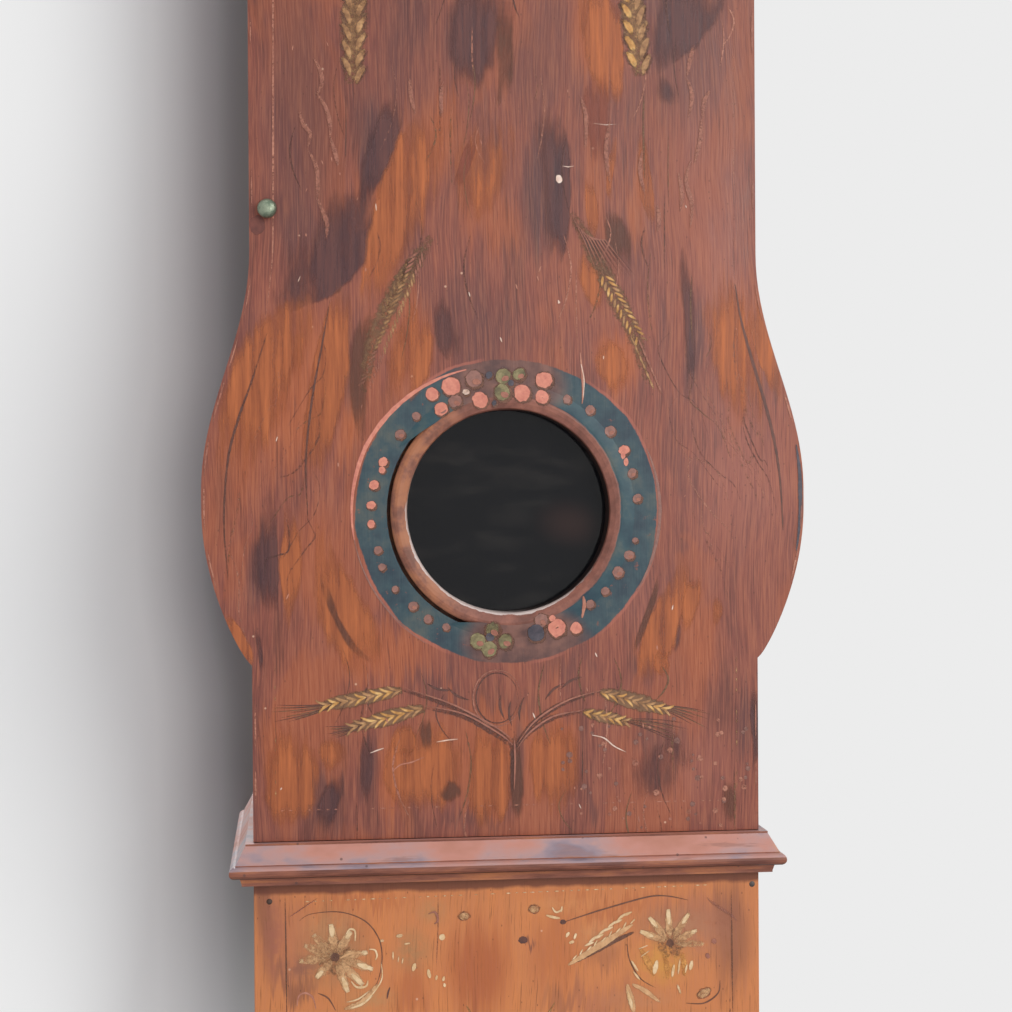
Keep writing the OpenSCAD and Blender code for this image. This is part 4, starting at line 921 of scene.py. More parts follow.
# the paints, from the one that lies lowest to the one that lies on top
PAINTS = {
    "olive": paint_material("paint_olive", ink(104, 74, 52), ink(128, 92, 64), worn=0.6),
    "shade": paint_material("paint_shade", ink(82, 52, 46), ink(104, 64, 54)),
    "umber": paint_material("paint_umber", ink(96, 62, 48), ink(116, 76, 58), worn=0.4),
    "pale": paint_material("paint_pale", ink(160, 100, 82), ink(186, 128, 106), worn=0.7),
    "straw": paint_material("paint_straw", ink(134, 94, 62), ink(164, 120, 80), ink(192, 148, 102)),
    "gold": paint_material(
        "paint_gold", ink(170, 118, 62), ink(198, 146, 82), ink(220, 178, 116), worn=0.45),
    "dull": paint_material(
        "paint_dull_pink", ink(126, 88, 80), ink(150, 106, 94), worn=0.4, scale=220),
    "salmon": paint_material(
        "paint_salmon", ink(190, 112, 96), ink(214, 140, 118), worn=0.35, scale=220),
    "leaf": paint_material("paint_leaf", ink(90, 82, 58), ink(118, 108, 74), ink(146, 134, 96), worn=0.4),
    "ink": paint_material("paint_ink", ink(58, 56, 66), ink(84, 76, 84), worn=0.4),
    "chalk": paint_material("paint_chalk", ink(206, 170, 150), ink(232, 210, 196)),
    "fawn": paint_material("paint_fawn", ink(184, 136, 94), ink(214, 168, 122), scale=200),
    "amber": paint_material("paint_amber", ink(178, 118, 60), ink(212, 150, 80)),
    "cream": paint_material("paint_cream", ink(206, 166, 118), ink(232, 204, 164), worn=0.4),
    "haze": paint_material("paint_haze", ink(144, 90, 76), ink(170, 112, 92), worn=0.35, scale=260),
}
RUST = paint_material("paint_rust", ink(92, 48, 42), ink(114, 62, 52), worn=0.3)


def glaze_material(name, low, high, seed, strength):
    """A thin coat dragged on along the grain: its colour and its edge both break up in upright streaks."""
    s = Shader(name, Specular_IOR_Level=0.32)
    comb = s.moved(s.place, scale=(1, 1, 0.05), shift=(seed, 0, seed))
    streak, fine = s.noise(comb, 170, 4, 0.65), s.noise(comb, 620, 3, 0.7)
    broad = s.noise(s.moved(s.place, scale=(1, 1, 0.3), shift=(seed, 0, 0)), 48, 4, 0.65, 0.5)
    cover = s.node("ShaderNodeAttribute", attribute_name="cover").outputs["Fac"]
    ragged = s.math("ADD", s.math("MULTIPLY", s.math("SUBTRACT", streak, 0.5), 0.9),
                    s.math("MULTIPLY", s.math("SUBTRACT", broad, 0.5), 1.1))
    edge = s.math("ADD", cover, s.math("MULTIPLY", ragged, s.fit(cover, 0.0, 0.25, 0.0, 1.0)))
    s.surface(
        Base_Color=s.ramp(s.math("ADD", s.math("MULTIPLY", streak, 0.6), s.math("MULTIPLY", fine, 0.4)),
                          (0.36, low), (0.64, high)),
        Roughness=s.fit(streak, 0.3, 0.7, 0.32, 0.5),
        Alpha=s.math("MULTIPLY", s.fit(edge, 0.22, 0.92), strength),
    )
    s.bumped(s.math("ADD", s.math("MULTIPLY", fine, 0.5), s.math("MULTIPLY", streak, 0.8)), 0.35, 0.0006)
    s.material.surface_render_method = "BLENDED"
    return s.material


GLAZES = {
    "night": glaze_material("glaze_night", ink(70, 48, 54), ink(112, 70, 64), 1.0, 0.80),
    "orange": glaze_material("glaze_orange", ink(142, 76, 50), ink(204, 118, 70), 2.0, 0.74),
    "red": glaze_material("glaze_red", ink(126, 66, 54), ink(152, 84, 66), 3.0, 0.66),
    "umber": glaze_material("glaze_umber", ink(88, 56, 46), ink(114, 72, 58), 4.0, 0.72),
}


def brushes(prefix, body, y, seed):
    """A brush for each paint, with its own height above the board and its own chance."""
    return {
        key: Brush(f"{prefix}_{key}", body, material, y, 0.00008 + 0.00004 * i, seed + i)
        for i, (key, material) in enumerate(PAINTS.items())
    }


def dry(strokes):
    """Makes the piece of each brush that has painted."""
    for brush in strokes.values():
        if brush.faces:
            brush.done()


def at(*points, y=FACE):
    """The places of several pixels of the photograph."""
    return [spot(px, py, y) for px, py in points]


door = brushes("door", "trunk_door", FACE, 10)

# cover, crisp (0.25) or soft (0.8) on the left and right, then x, y and width of each point in pixels
DOOR_GLAZES = (
    ("orange", 0.9, 0.2, 0.9, (450, 98, 20), (440, 124, 62), (424, 162, 72), (406, 208, 68), (390, 256, 54),
     (376, 300, 38), (368, 344, 14)),
    ("orange", 0.7, 0.7, 0.7, (488, 96, 40), (486, 130, 90), (482, 168, 90), (476, 206, 60), (470, 240, 16)),
    ("night", 0.95, 0.8, 0.28, (396, 84, 8), (391, 112, 32), (378, 148, 38), (364, 190, 26), (358, 226, 12)),
    ("night", 0.9, 0.5, 0.7, (482, -60, 60), (480, 0, 74), (476, 40, 70), (470, 76, 56), (462, 104, 18)),
    ("umber", 0.7, 0.8, 0.5, (500, -50, 30), (503, 30, 26), (505, 80, 22), (492, 112, 8)),
    ("red", 0.8, 0.3, 0.3, (478, 132, 6), (470, 150, 14), (460, 178, 12), (452, 196, 4)),
    ("night", 0.95, 0.8, 0.25, (540, 100, 22), (546, 128, 48), (554, 165, 38), (556, 210, 32), (553, 250, 30),
     (550, 268, 18)),
    ("night", 0.9, 1.0, 0.16, (384, 150, 16), (362, 190, 60), (340, 232, 84), (312, 266, 78), (284, 292, 52),
     (264, 316, 16)),
    ("orange", 0.85, 0.5, 0.5, (322, 282, 10), (296, 318, 60), (268, 360, 84), (250, 410, 80), (238, 460, 60),
     (230, 520, 20)),
    ("orange", 1.0, 0.2, 0.5, (346, 268, 6), (341, 310, 30), (333, 360, 42), (325, 410, 42), (316, 460, 34),
     (308, 510, 14)),
    ("umber", 0.85, 0.5, 0.6, (372, 296, 8), (364, 330, 22), (358, 372, 24), (360, 420, 20), (366, 452, 8)),
    ("orange", 0.75, 0.6, 0.3, (420, 288, 10), (414, 320, 40), (410, 350, 58), (400, 384, 50),
     (388, 412, 14)),
    ("night", 0.65, 0.3, 0.8, (432, 268, 10), (444, 310, 30), (452, 346, 34), (462, 362, 14)),
    ("orange", 0.9, 0.5, 0.2, (596, -70, 40), (597, 0, 50), (601, 44, 50), (608, 84, 38), (616, 112, 14)),
    ("red", 0.75, 0.5, 0.5, (600, 62, 18), (598, 90, 34), (596, 116, 34), (600, 150, 24), (606, 184, 10)),
    ("orange", 0.95, 0.3, 0.3, (640, 118, 3), (643, 150, 11), (646, 190, 17), (651, 216, 11), (657, 232, 3)),
    ("orange", 0.85, 0.3, 0.4, (586, 168, 4), (591, 196, 14), (593, 226, 13), (592, 246, 5)),
    ("orange", 0.8, 0.3, 0.4, (617, 132, 3), (612, 160, 9), (609, 190, 7), (614, 206, 4)),
    ("umber", 0.8, 0.5, 0.5, (606, 204, 10), (614, 226, 30), (622, 250, 30), (630, 272, 14)),
    ("night", 0.9, 0.7, 0.25, (694, -60, 90), (690, -10, 92), (676, 24, 74), (660, 54, 44), (650, 76, 14)),
    ("night", 0.6, 0.8, 0.8, (660, 72, 18), (668, 92, 34), (676, 112, 20)),
    ("night", 0.8, 0.6, 0.5, (686, 236, 8), (686, 270, 20), (689, 320, 14), (690, 372, 14), (686, 430, 6)),
    ("orange", 0.9, 0.6, 0.7, (586, 246, 16), (590, 270, 30), (596, 298, 24), (600, 316, 8)),
    ("orange", 0.95, 0.5, 0.4, (600, 336, 14), (608, 354, 38), (614, 376, 38), (620, 398, 18)),
    ("orange", 0.8, 0.6, 0.4, (718, 256, 12), (722, 300, 52), (732, 350, 62), (744, 400, 52), (752, 444, 18)),
    ("orange", 0.9, 0.25, 0.5, (744, 282, 6), (754, 312, 20), (764, 346, 24), (776, 382, 20), (786, 420, 8)),
    ("night", 0.95, 0.8, 0.25, (270, 470, 8), (266, 520, 26), (264, 562, 32), (266, 598, 30), (272, 624, 12)),
    ("orange", 0.95, 0.25, 0.6, (286, 494, 4), (292, 530, 20), (292, 566, 28), (290, 606, 16), (284, 640, 8)),
    ("orange", 0.95, 0.5, 0.5, (318, 500, 8), (326, 560, 38), (342, 610, 60), (358, 648, 66), (362, 686, 30)),
    ("orange", 0.95, 0.5, 0.3, (220, 604, 4), (230, 624, 14), (242, 646, 18), (254, 668, 8)),
    ("umber", 0.8, 0.6, 0.6, (318, 566, 5), (326, 590, 14), (338, 622, 10), (356, 650, 12), (376, 664, 5)),
    ("orange", 0.9, 0.4, 0.4, (690, 546, 6), (678, 588, 34), (662, 628, 44), (652, 664, 36), (646, 692, 10)),
    ("orange", 0.9, 0.4, 0.5, (700, 570, 6), (694, 590, 20), (688, 616, 18), (684, 640, 6)),
    ("orange", 0.7, 0.6, 0.6, (716, 590, 6), (718, 610, 16), (714, 632, 6)),
    ("umber", 0.8, 0.5, 0.5, (664, 560, 4), (654, 596, 9), (642, 630, 9), (630, 660, 6)),
    ("night", 0.7, 0.5, 0.7, (676, 610, 6), (676, 634, 15), (672, 660, 6)),
    ("orange", 0.9, 0.4, 0.4, (662, 644, 6), (662, 664, 20), (668, 684, 8)),
    ("orange", 0.9, 0.4, 0.5, (288, 716, 30), (292, 760, 64), (290, 806, 60), (288, 836, 30)),
    ("orange", 0.8, 0.5, 0.5, (330, 734, 18), (332, 752, 34), (330, 776, 14)),
    ("night", 0.85, 0.6, 0.4, (344, 766, 10), (334, 790, 26), (324, 812, 30), (318, 836, 24)),
    ("night", 0.85, 0.5, 0.25, (366, 722, 10), (366, 752, 16), (365, 786, 14), (364, 812, 8)),
    ("orange", 0.9, 0.15, 0.6, (424, 716, 50), (428, 750, 92), (430, 790, 92), (430, 820, 50)),
    ("orange", 0.9, 0.4, 0.3, (402, 720, 16), (404, 740, 28), (402, 762, 18)),
    ("umber", 0.85, 0.5, 0.4, (426, 712, 8), (426, 734, 15), (428, 756, 8)),
    ("orange", 0.95, 0.5, 0.2, (480, 716, 24), (486, 744, 50), (488, 780, 52), (486, 812, 50),
     (484, 832, 20)),
    ("umber", 0.8, 0.4, 0.4, (440, 784, 18), (450, 792, 26), (456, 802, 18)),
    ("umber", 0.9, 0.5, 0.5, (516, 728, 8), (516, 760, 15), (517, 800, 17), (517, 828, 14)),
    ("orange", 0.9, 0.25, 0.7, (552, 706, 16), (556, 742, 60), (560, 786, 64), (556, 826, 30)),
    ("night", 0.55, 0.9, 0.9, (620, 736, 40), (640, 764, 90), (660, 790, 80), (664, 816, 30)),
    ("night", 0.6, 0.8, 0.8, (664, 722, 20), (676, 742, 36), (684, 766, 30), (684, 792, 12)),
    ("night", 0.85, 0.6, 0.3, (755, 676, 5), (754, 710, 11), (756, 748, 9), (752, 772, 3)),
    ("umber", 0.6, 0.8, 0.8, (724, 776, 12), (730, 800, 30), (728, 826, 24)),
    ("night", 0.7, 0.5, 0.8, (252, 620, 3), (258, 636, 9), (262, 664, 8), (264, 690, 4)),
    # above the photograph, in the same manner
    ("orange", 0.9, 0.3, 0.5, (420, -420, 10), (412, -360, 44), (396, -290, 46), (384, -220, 24),
     (380, -170, 8)),
    ("night", 0.9, 0.8, 0.3, (384, -440, 10), (378, -380, 34), (366, -310, 36), (356, -240, 14)),
    ("night", 0.9, 0.6, 0.3, (560, -330, 14), (556, -270, 44), (548, -200, 36), (546, -120, 16)),
    ("orange", 0.85, 0.4, 0.5, (610, -420, 10), (616, -340, 34), (608, -250, 40), (600, -160, 16)),
    ("orange", 0.8, 0.5, 0.5, (480, -560, 14), (486, -480, 50), (476, -400, 40), (470, -320, 12)),
    ("night", 0.8, 0.6, 0.6, (300, -330, 20), (296, -250, 50), (306, -170, 40), (312, -110, 14)),
    ("orange", 0.8, 0.4, 0.5, (700, -560, 10), (704, -470, 34), (700, -380, 30), (696, -310, 8)),
    ("night", 0.8, 0.6, 0.6, (644, -640, 16), (640, -560, 40), (646, -470, 34), (652, -400, 10)),
    ("orange", 0.8, 0.5, 0.4, (320, -600, 12), (316, -520, 38), (310, -440, 34), (306, -370, 10)),
)
glazes = {
    key: Brush(f"door_glaze_{key}", "trunk_door", material, FACE, 0.00003 + 0.00001 * i, 300 + i)
    for i, (key, material) in enumerate(GLAZES.items())
}
for key, cover, soft_left, soft_right, *points in DOOR_GLAZES:
    path = [(*spot(px, py), width * PX) for px, py, width in points]
    if path[-1][1] < path[0][1]:
        path.reverse()
    glazes[key].band(path, cover, (soft_right, soft_left))
dry(glazes)


def braided_ear(b, top, foot, width, grains, bright="straw", lean=(1.0, 1.0)):
    """A ripe ear seen flat: pairs of plump grains that point up and out from a short stem."""
    (x0, z0), (x1, z1) = foot, top
    dx, dz = x1 - x0, z1 - z0
    heading = math.degrees(math.atan2(dz, dx))
    b["olive"].stroke(straight(foot, top, 12), width * 1.05, 0.5, ends=(0.6, 0.5))
    b["straw"].stroke(straight(foot, top, 12), width * 0.8, 0.34, ends=(0.6, 0.5))
    pitch = math.hypot(dx, dz) / grains
    for i in range(grains):
        for side in (-1, 1):
            t = (i + (0.5 if side > 0 else 0.0)) / grains
            start = polar((x0 + dx * t, z0 + dz * t), width * 0.10, heading + side * 90)
            tone = bright if side > 0 else "straw"
            long = pitch * 1.25 * lean[side > 0]
            b["umber"].leaf(start, heading + side * 30, pitch * 1.3, width * 0.36, 0.42, -0.05 * side)
            b[tone].leaf(start, heading + side * 25, long, width * 0.27, 0.56, -0.08 * side)
            b["olive"].leaf(start, heading + side * 12, pitch * 0.7, width * 0.09, 0.6)


def bearded_ear(b, foot, tip, width, grains, awn, dim=1.0, bright="gold"):
    """A small ear with fine grains on both sides and a fan of long awns past its tip."""
    (x0, z0), (x1, z1) = foot, tip
    dx, dz = x1 - x0, z1 - z0
    size = math.hypot(dx, dz)
    heading = math.degrees(math.atan2(dz, dx))
    chance = random.Random(int(abs(x0) * 10000 + grains))
    b["olive"].stroke(straight(foot, tip, 10), width * 1.3, 0.75 * dim, ends=(0.5, 0.6))
    for i in range(9):
        spread = (i - 4) * 2.4 + chance.uniform(-1, 1)
        reach = awn * chance.uniform(0.7, 1.0)
        start = (x0 + dx * 0.75, z0 + dz * 0.75)
        b["olive" if i % 2 else "shade"].leaf(start, heading + spread, reach, 0.0011, 0.55 * dim, 0.03)
    for i in range(grains):
        t = i / grains
        for side in (-1, 1):
            long = size / grains * 1.7 * chance.uniform(0.85, 1.1)
            tone = bright if chance.random() < 0.6 else "straw"
            start = (x0 + dx * t, z0 + dz * t)
            b[tone].leaf(start, heading + side * 26, long, 0.0027, 0.64 * dim, -0.1 * side)


# ears on the door, as they lie in the photograph
braided_ear(door, spot(355, -64), spot(353, 84), 0.024, 9)
braided_ear(door, spot(624, -70), spot(640, 76), 0.026, 9, "gold", (1.15, 0.9))
bearded_ear(door, *at((382, 318), (408, 266)), 0.012, 7, 0.03, 0.55, "straw")
door["olive"].curve(at((432, 236), (415, 262), (392, 300), (372, 345), (364, 392)), 0.020, 0.42)
for i in range(26):
    t = i / 25
    px, py = 420 - 52 * t, 252 + 128 * t
    for side in (-1, 1):
        key = "straw" if 0.15 < t < 0.75 else "haze"
        door[key].leaf(spot(px + side * 1.5, py), 246 + side * 30, 0.0085, 0.0023, 0.52 - 0.2 * t)
door["olive"].curve(at((572, 212), (590, 246), (612, 290), (632, 330), (648, 384)), 0.020, 0.42)
for i in range(16):
    door["shade" if i % 2 else "haze"].stroke(
        at((570 + i * 0.6, 212 + i * 2.0), (584 + i * 1.5, 240), (598 + i * 2.5, 276)), 0.0012, 0.6)
for i in range(12):
    t = i / 11
    px, py = 604 + 34 * t, 276 + 60 * t
    for side in (-1, 1):
        door["gold" if (i + side) % 3 else "straw"].leaf(
            spot(px + side * 1.2, py), -62 + side * 34, 0.0082, 0.0027, 0.66 - 0.2 * t)
for i in range(12):
    px = 630 + 1.8 * i + (i % 2) * 6
    door["haze" if i % 2 else "straw"].leaf(spot(px, 334 + 4.2 * i), -66, 0.012, 0.0022, 0.5)

bearded_ear(door, *at((402, 690), (322, 706)), 0.011, 9, 0.056)
bearded_ear(door, *at((424, 708), (350, 728)), 0.011, 8, 0.036)
bearded_ear(door, *at((600, 692), (668, 710)), 0.013, 9, 0.050)
bearded_ear(door, *at((583, 712), (628, 722)), 0.010, 6, 0.060, 0.85)
for points in (
    [(402, 690), (450, 706), (492, 728), (511, 742)], [(424, 708), (462, 716), (498, 736), (512, 748)],
    [(600, 692), (566, 702), (534, 722), (515, 746)], [(583, 712), (552, 718), (528, 734), (514, 752)],
    [(512, 738), (513, 762), (512, 792)],
):
    door["shade"].curve(at(*points), 0.0060, 0.42)
    door["haze"].curve(at(*[(px + 2, py - 2) for px, py in points]), 0.0020, 0.6)
for ring in range(2):
    wide, tall = 24 - ring * 3, 28 - ring * 3
    loop = [(497 + wide * math.cos(a * math.pi / 8), 698 + tall * math.sin(a * math.pi / 8))
            for a in range(17)]
    door["shade" if ring else "haze"].curve(at(*loop), 0.0016, 0.5)
for px, py, angle in ((505, 720, 100), (520, 722, 80), (500, 735, 130), (525, 738, 52), (512, 726, 92),
                      (470, 700, 150), (545, 700, 40), (560, 690, 30), (452, 690, 165)):
    door["shade"].leaf(spot(px, py), angle, 0.020, 0.0026, 0.6, 0.1)

# drooping leaves in pale paint, on both sides of the upper door
for chain in (
    [(313, 58), (320, 70), (322, 84), (316, 96)], [(315, 92), (325, 106), (330, 124), (330, 140)],
    [(299, 110), (303, 124), (310, 134), (308, 148)], [(308, 150), (316, 166), (318, 186), (317, 200)],
    [(316, 196), (322, 210), (327, 224), (326, 240)], [(330, 136), (336, 156), (338, 166)],
    [(409, 78), (411, 96), (415, 114)], [(443, 80), (441, 100), (442, 118)],
    [(694, 44), (690, 60), (687, 76)], [(686, 76), (692, 96), (688, 118)],
    [(710, 90), (704, 102), (702, 118)], [(701, 118), (700, 140), (694, 164)],
    [(691, 160), (686, 180), (692, 206), (690, 228)], [(678, 172), (682, 194), (680, 212)],
    [(642, 150), (640, 172), (645, 196)], [(580, 96), (586, 118), (585, 150)],
    [(610, 120), (606, 150), (610, 186)], [(657, 204), (659, 220), (657, 232)],
):
    door["haze"].curve(at(*chain), 0.0050, 0.46, ends=(0.1, 0.1))
    door["pale"].curve(at(*chain), 0.0016, 0.38, ends=(0.1, 0.1))
chance = random.Random(77)
for i in range(90):
    # long thin brush hairs that follow the graining
    px = chance.choice((chance.uniform(330, 480), chance.uniform(270, 740), chance.uniform(560, 740)))
    py = chance.choice((chance.uniform(-560, 330), chance.uniform(20, 330), chance.uniform(640, 810)))
    long, bow = chance.uniform(30, 95), chance.uniform(-9, 9)
    points = at((px, py), (px + bow, py + long * 0.35), (px + bow * 0.4, py + long * 0.7),
                (px - bow, py + long))
    key = chance.choice(("pale", "shade", "shade", "olive"))
    door[key].curve(points, chance.uniform(0.0008, 0.0022), chance.uniform(0.3, 0.55), steps=6)
for i in range(34):
    # strokes that follow the belly on both sides
    side = chance.choice((-1, 1))
    off = chance.uniform(22, 92)
    py = chance.uniform(300, 560)
    path = []
    for k in range(6):
        y = py + k * chance.uniform(14, 24)
        bulge = 44 * math.exp(-((y - 545) / 120.0) ** 2)
        path.append((505 + side * (255 + bulge - off * (1 + 0.2 * math.sin(k))), y))
    door[chance.choice(("shade", "pale", "olive"))].curve(
        at(*path), chance.uniform(0.0008, 0.0026), chance.uniform(0.2, 0.36), steps=5)


def dotted(b, key, start, end, gap, width, cover, seed, keep=0.8):
    """A broken line of short dabs, as an old pinstripe leaves it."""
    chance = random.Random(seed)
    (x0, z0), (x1, z1) = start, end
    size = math.hypot(x1 - x0, z1 - z0)
    count = int(size / gap)
    for i in range(count):
        if chance.random() > keep:
            continue
        a, c = i / count, (i + chance.uniform(0.4, 0.85)) / count
        path = [(x0 + (x1 - x0) * t, z0 + (z1 - z0) * t) for t in (a, (a + c) / 2, c)]
        b[key].stroke(path, width, cover * chance.uniform(0.6, 1.0))


pinstripe = at((273, -590), (273, -300), (273, 0), (273, 130), (273, 220), (272, 262), (265, 322))
door["pale"].curve(pinstripe, 0.0016, 0.5, steps=16, ends=(1, 0.3), wobble=0.4)
for side in (-1, 1):
    x = side * (HALF - 0.0175)
    if side > 0:
        dotted(door, "pale", (x, DOOR[1].z - 0.018), (x, spot(0, 290)[1]), 0.009, 0.0018, 0.4, 6, 0.8)
    dotted(door, "straw", (x, spot(0, 668)[1]), (x, DOOR_Z + 0.024), 0.008, 0.0013, 0.5, 9 + side, 0.7)
dotted(door, "pale", (-0.18, DOOR_Z + 0.024), (0.18, DOOR_Z + 0.024), 0.007, 0.0012, 0.7, 21, 0.6)
dotted(door, "pale", (-0.18, DOOR[1].z - 0.018), (0.18, DOOR[1].z - 0.018), 0.007, 0.0015, 0.7, 23, 0.7)
door["shade"].curve(at((735, 284), (741, 320), (752, 360), (764, 400), (774, 440), (780, 480), (783, 530)),
                    0.0030, 0.85)
door["shade"].curve(at((330, 300), (322, 345), (312, 400), (306, 460), (308, 520)), 0.0022, 0.55)
door["shade"].curve(at((268, 330), (252, 380), (238, 420), (228, 460), (224, 520), (228, 580)), 0.0026, 0.5)

# upper part of the door, above the photograph: the same ears, leaves and a small wreath
for side in (-1, 1):
    foot, top = (side * 0.085, 1.30), (side * 0.100, 1.42)
    braided_ear(door, top, foot, 0.022, 8, "gold" if side > 0 else "straw")
    for i in range(5):
        start = (side * (0.150 - 0.004 * i), 1.22 + 0.055 * i)
        door["pale"].leaf(start, 90 - side * 14, 0.040, 0.005, 0.6, 0.12 * side)
    bearded_ear(door, (side * 0.012, 1.515), (side * 0.075, 1.555), 0.012, 9, 0.045)
    bearded_ear(door, (side * 0.010, 1.500), (side * 0.070, 1.505), 0.011, 8, 0.040)
    door["shade"].curve([(0, 1.44), (side * 0.004, 1.475), (side * 0.012, 1.515)], 0.003, 0.7)

# ring of dots and flowers round the window
for px, py, size, key, cover in (
    (416, 416, 4.4, "dull", 0.9), (400, 434, 5.6, "dull", 0.9), (383, 462, 5.4, "salmon", 1.0),
    (382, 470, 3.6, "salmon", 1.0), (374, 485, 5.4, "salmon", 1.0), (371, 505, 5.0, "salmon", 1.0),
    (371, 524, 4.4, "salmon", 0.9), (378, 550, 4.6, "dull", 1.0), (382, 567, 4.2, "dull", 1.0),
    (395, 589, 3.8, "dull", 0.8), (413, 606, 5.2, "dull", 1.1), (428, 619, 4.8, "dull", 1.1),
    (446, 627, 4.0, "dull", 0.8), (432, 394, 7.0, "salmon", 1.0), (451, 386, 9.6, "salmon", 1.0),
    (441, 409, 7.2, "salmon", 1.0), (455, 401, 7.4, "dull", 0.9), (480, 400, 8.2, "salmon", 0.95),
    (474, 379, 9.6, "dull", 0.9), (466, 392, 4.0, "chalk", 0.5), (522, 393, 9.4, "salmon", 1.0),
    (544, 380, 9.4, "salmon", 1.0), (542, 397, 7.4, "salmon", 0.85), (567, 399, 4.8, "dull", 1.1),
    (590, 410, 5.2, "dull", 1.2), (610, 431, 5.8, "dull", 0.95), (624, 450, 6.0, "salmon", 0.9),
    (632, 473, 5.4, "dull", 1.1), (637, 498, 5.2, "dull", 1.0), (635, 540, 3.2, "dull", 0.9),
    (629, 555, 5.6, "dull", 1.0), (618, 572, 6.0, "dull", 1.0), (605, 591, 4.6, "dull", 1.0),
    (590, 604, 5.0, "dull", 0.7), (503, 376, 8.4, "leaf", 0.95), (519, 374, 7.4, "leaf", 0.6),
    (502, 392, 9.6, "leaf", 0.65), (478, 641, 8.2, "leaf", 0.95), (489, 649, 8.4, "leaf", 1.0),
    (505, 641, 8.4, "leaf", 0.6), (492, 630, 9.0, "leaf", 0.45), (557, 628, 9.8, "salmon", 0.95),
    (576, 628, 6.4, "salmon", 0.9), (541, 620, 7.6, "dull", 0.7), (536, 633, 9.2, "ink", 0.95),
    (490, 637, 4.4, "ink", 1.0), (489, 375, 4.2, "ink", 0.8), (511, 383, 3.6, "ink", 0.7),
    (494, 403, 3.2, "ink", 0.5), (552, 618, 3.6, "salmon", 0.8),
):
    door["umber"].dab(spot(px + 0.8, py + 1.2), size * PX * 1.22, cover=0.5)
    door[key].dab(spot(px, py), size * PX, size * PX * chance.uniform(0.8, 1.1), cover, chance.uniform(0, 90))
    if size > 5 and key != "ink":
        tint = "dull" if key == "salmon" else "haze"
        door[tint].dab(spot(px + size * 0.25, py + size * 0.3), size * PX * 0.5, size * PX * 0.35, 0.6,
                       chance.uniform(-40, 40))
for px, py in ((623, 455), (626, 462)):
    door["salmon"].dab(spot(px, py), 2.6 * PX, 4.6 * PX, 0.8)
for a0, a1, far, near, key, width in (
    (106, 190, 147, 155, "salmon", 0.0040), (-32, 24, 153, 154, "dull", 0.0034),
    (188, 238, 155, 154, "dull", 0.0016),
):
    arc = []
    for i in range(25):
        r = (far + (near - far) * min(1, i / 14)) * PX
        arc.append(polar(WINDOW, r, a0 + (a1 - a0) * i / 24))
    door[key].stroke(arc, width, 1.5 if key == "salmon" else 0.9)

# paint over the joint of the turned ring, which has split open at the left: its first angle and its sweep
JOINT_FROM, JOINT_SWEEP, JOINT_STEPS = -118, 268, 108
joint = Shader("joint_paint", Specular_IOR_Level=0.32, Roughness=0.45)
joint.surface(Base_Color=ring_field(joint))
joint_v, joint_f = [], []
outer = BEZEL_R + JOINT + 0.0002
for i in range(JOINT_STEPS + 1):
    turned = JOINT_SWEEP * i / JOINT_STEPS
    full = min(1, turned / 14, (JOINT_SWEEP - turned) / 20) ** 0.6
    for r in (BEZEL_R - 0.0032, BEZEL_R, outer):
        x, z = polar(BEZEL_AT, outer - (outer - r) * full, turned + JOINT_FROM)
        joint_v.append((x, front_at(x, z) - 0.00003, z))
for i in range(JOINT_STEPS):
    for k in range(2):
        a = i * 3 + k
        joint_f.append((a, a + 1, a + 4, a + 3))
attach(mesh_piece("joint_paint", joint_v, joint_f, joint.material, smooth=True), "trunk_door")

# runs, chips and scratches
door["pale"].curve(at((580, 352), (582, 372), (583, 392), (582, 404)), 0.0022, 0.9)
door["chalk"].curve(at((581, 364), (584, 380), (583, 398)), 0.0012, 0.7)
door["pale"].curve(at((583, 596), (584, 606), (582, 618)), 0.0034, 0.95)
door["chalk"].dab(spot(559, 179), 3.4 * PX, 4.6 * PX, 1.0, 20)
door["chalk"].stroke(at((562, 166), (568, 167), (574, 166)), 0.0010, 0.8)
door["chalk"].stroke(at((590, 123), (606, 125), (620, 124)), 0.0012, 0.5)
door["chalk"].stroke(at((558, 300), (559, 303), (560, 303)), 0.0024, 0.9)
door["chalk"].curve(at((592, 735), (604, 738), (614, 746), (626, 752)), 0.0014, 0.8)
door["chalk"].curve(at((370, 753), (378, 750), (384, 748)), 0.0012, 0.8)
door["chalk"].curve(at((436, 742), (448, 740), (458, 739)), 0.0012, 0.8)
door["pale"].curve(at((392, 772), (400, 765), (412, 762), (424, 757)), 0.0014, 0.7)
for i in range(46):
    px, py = chance.uniform(262, 748), chance.uniform(20, 830)
    if math.hypot(px - 507, py - 511) < 160:
        continue
    door[chance.choice(("chalk", "pale", "pale"))].leaf(
        spot(px, py), chance.uniform(60, 120), chance.uniform(0.002, 0.006),
        chance.uniform(0.0008, 0.0016), 0.7)
for i in range(70):
    px, py = chance.uniform(560, 750), chance.uniform(716, 828)
    door[chance.choice(("pale", "dull"))].dab(spot(px, py), chance.uniform(0.001, 0.003), cover=0.45)
# the dark rubbed patch beside the knob
rust = Brush("door_rubbed_patch", "trunk_door", RUST, FACE, 0.00007, 5)
rust.dab((-HALF + 0.0062, KNOB_AT[1] - 0.0125), 0.0062, 0.0078, 1.6)
rust.done()

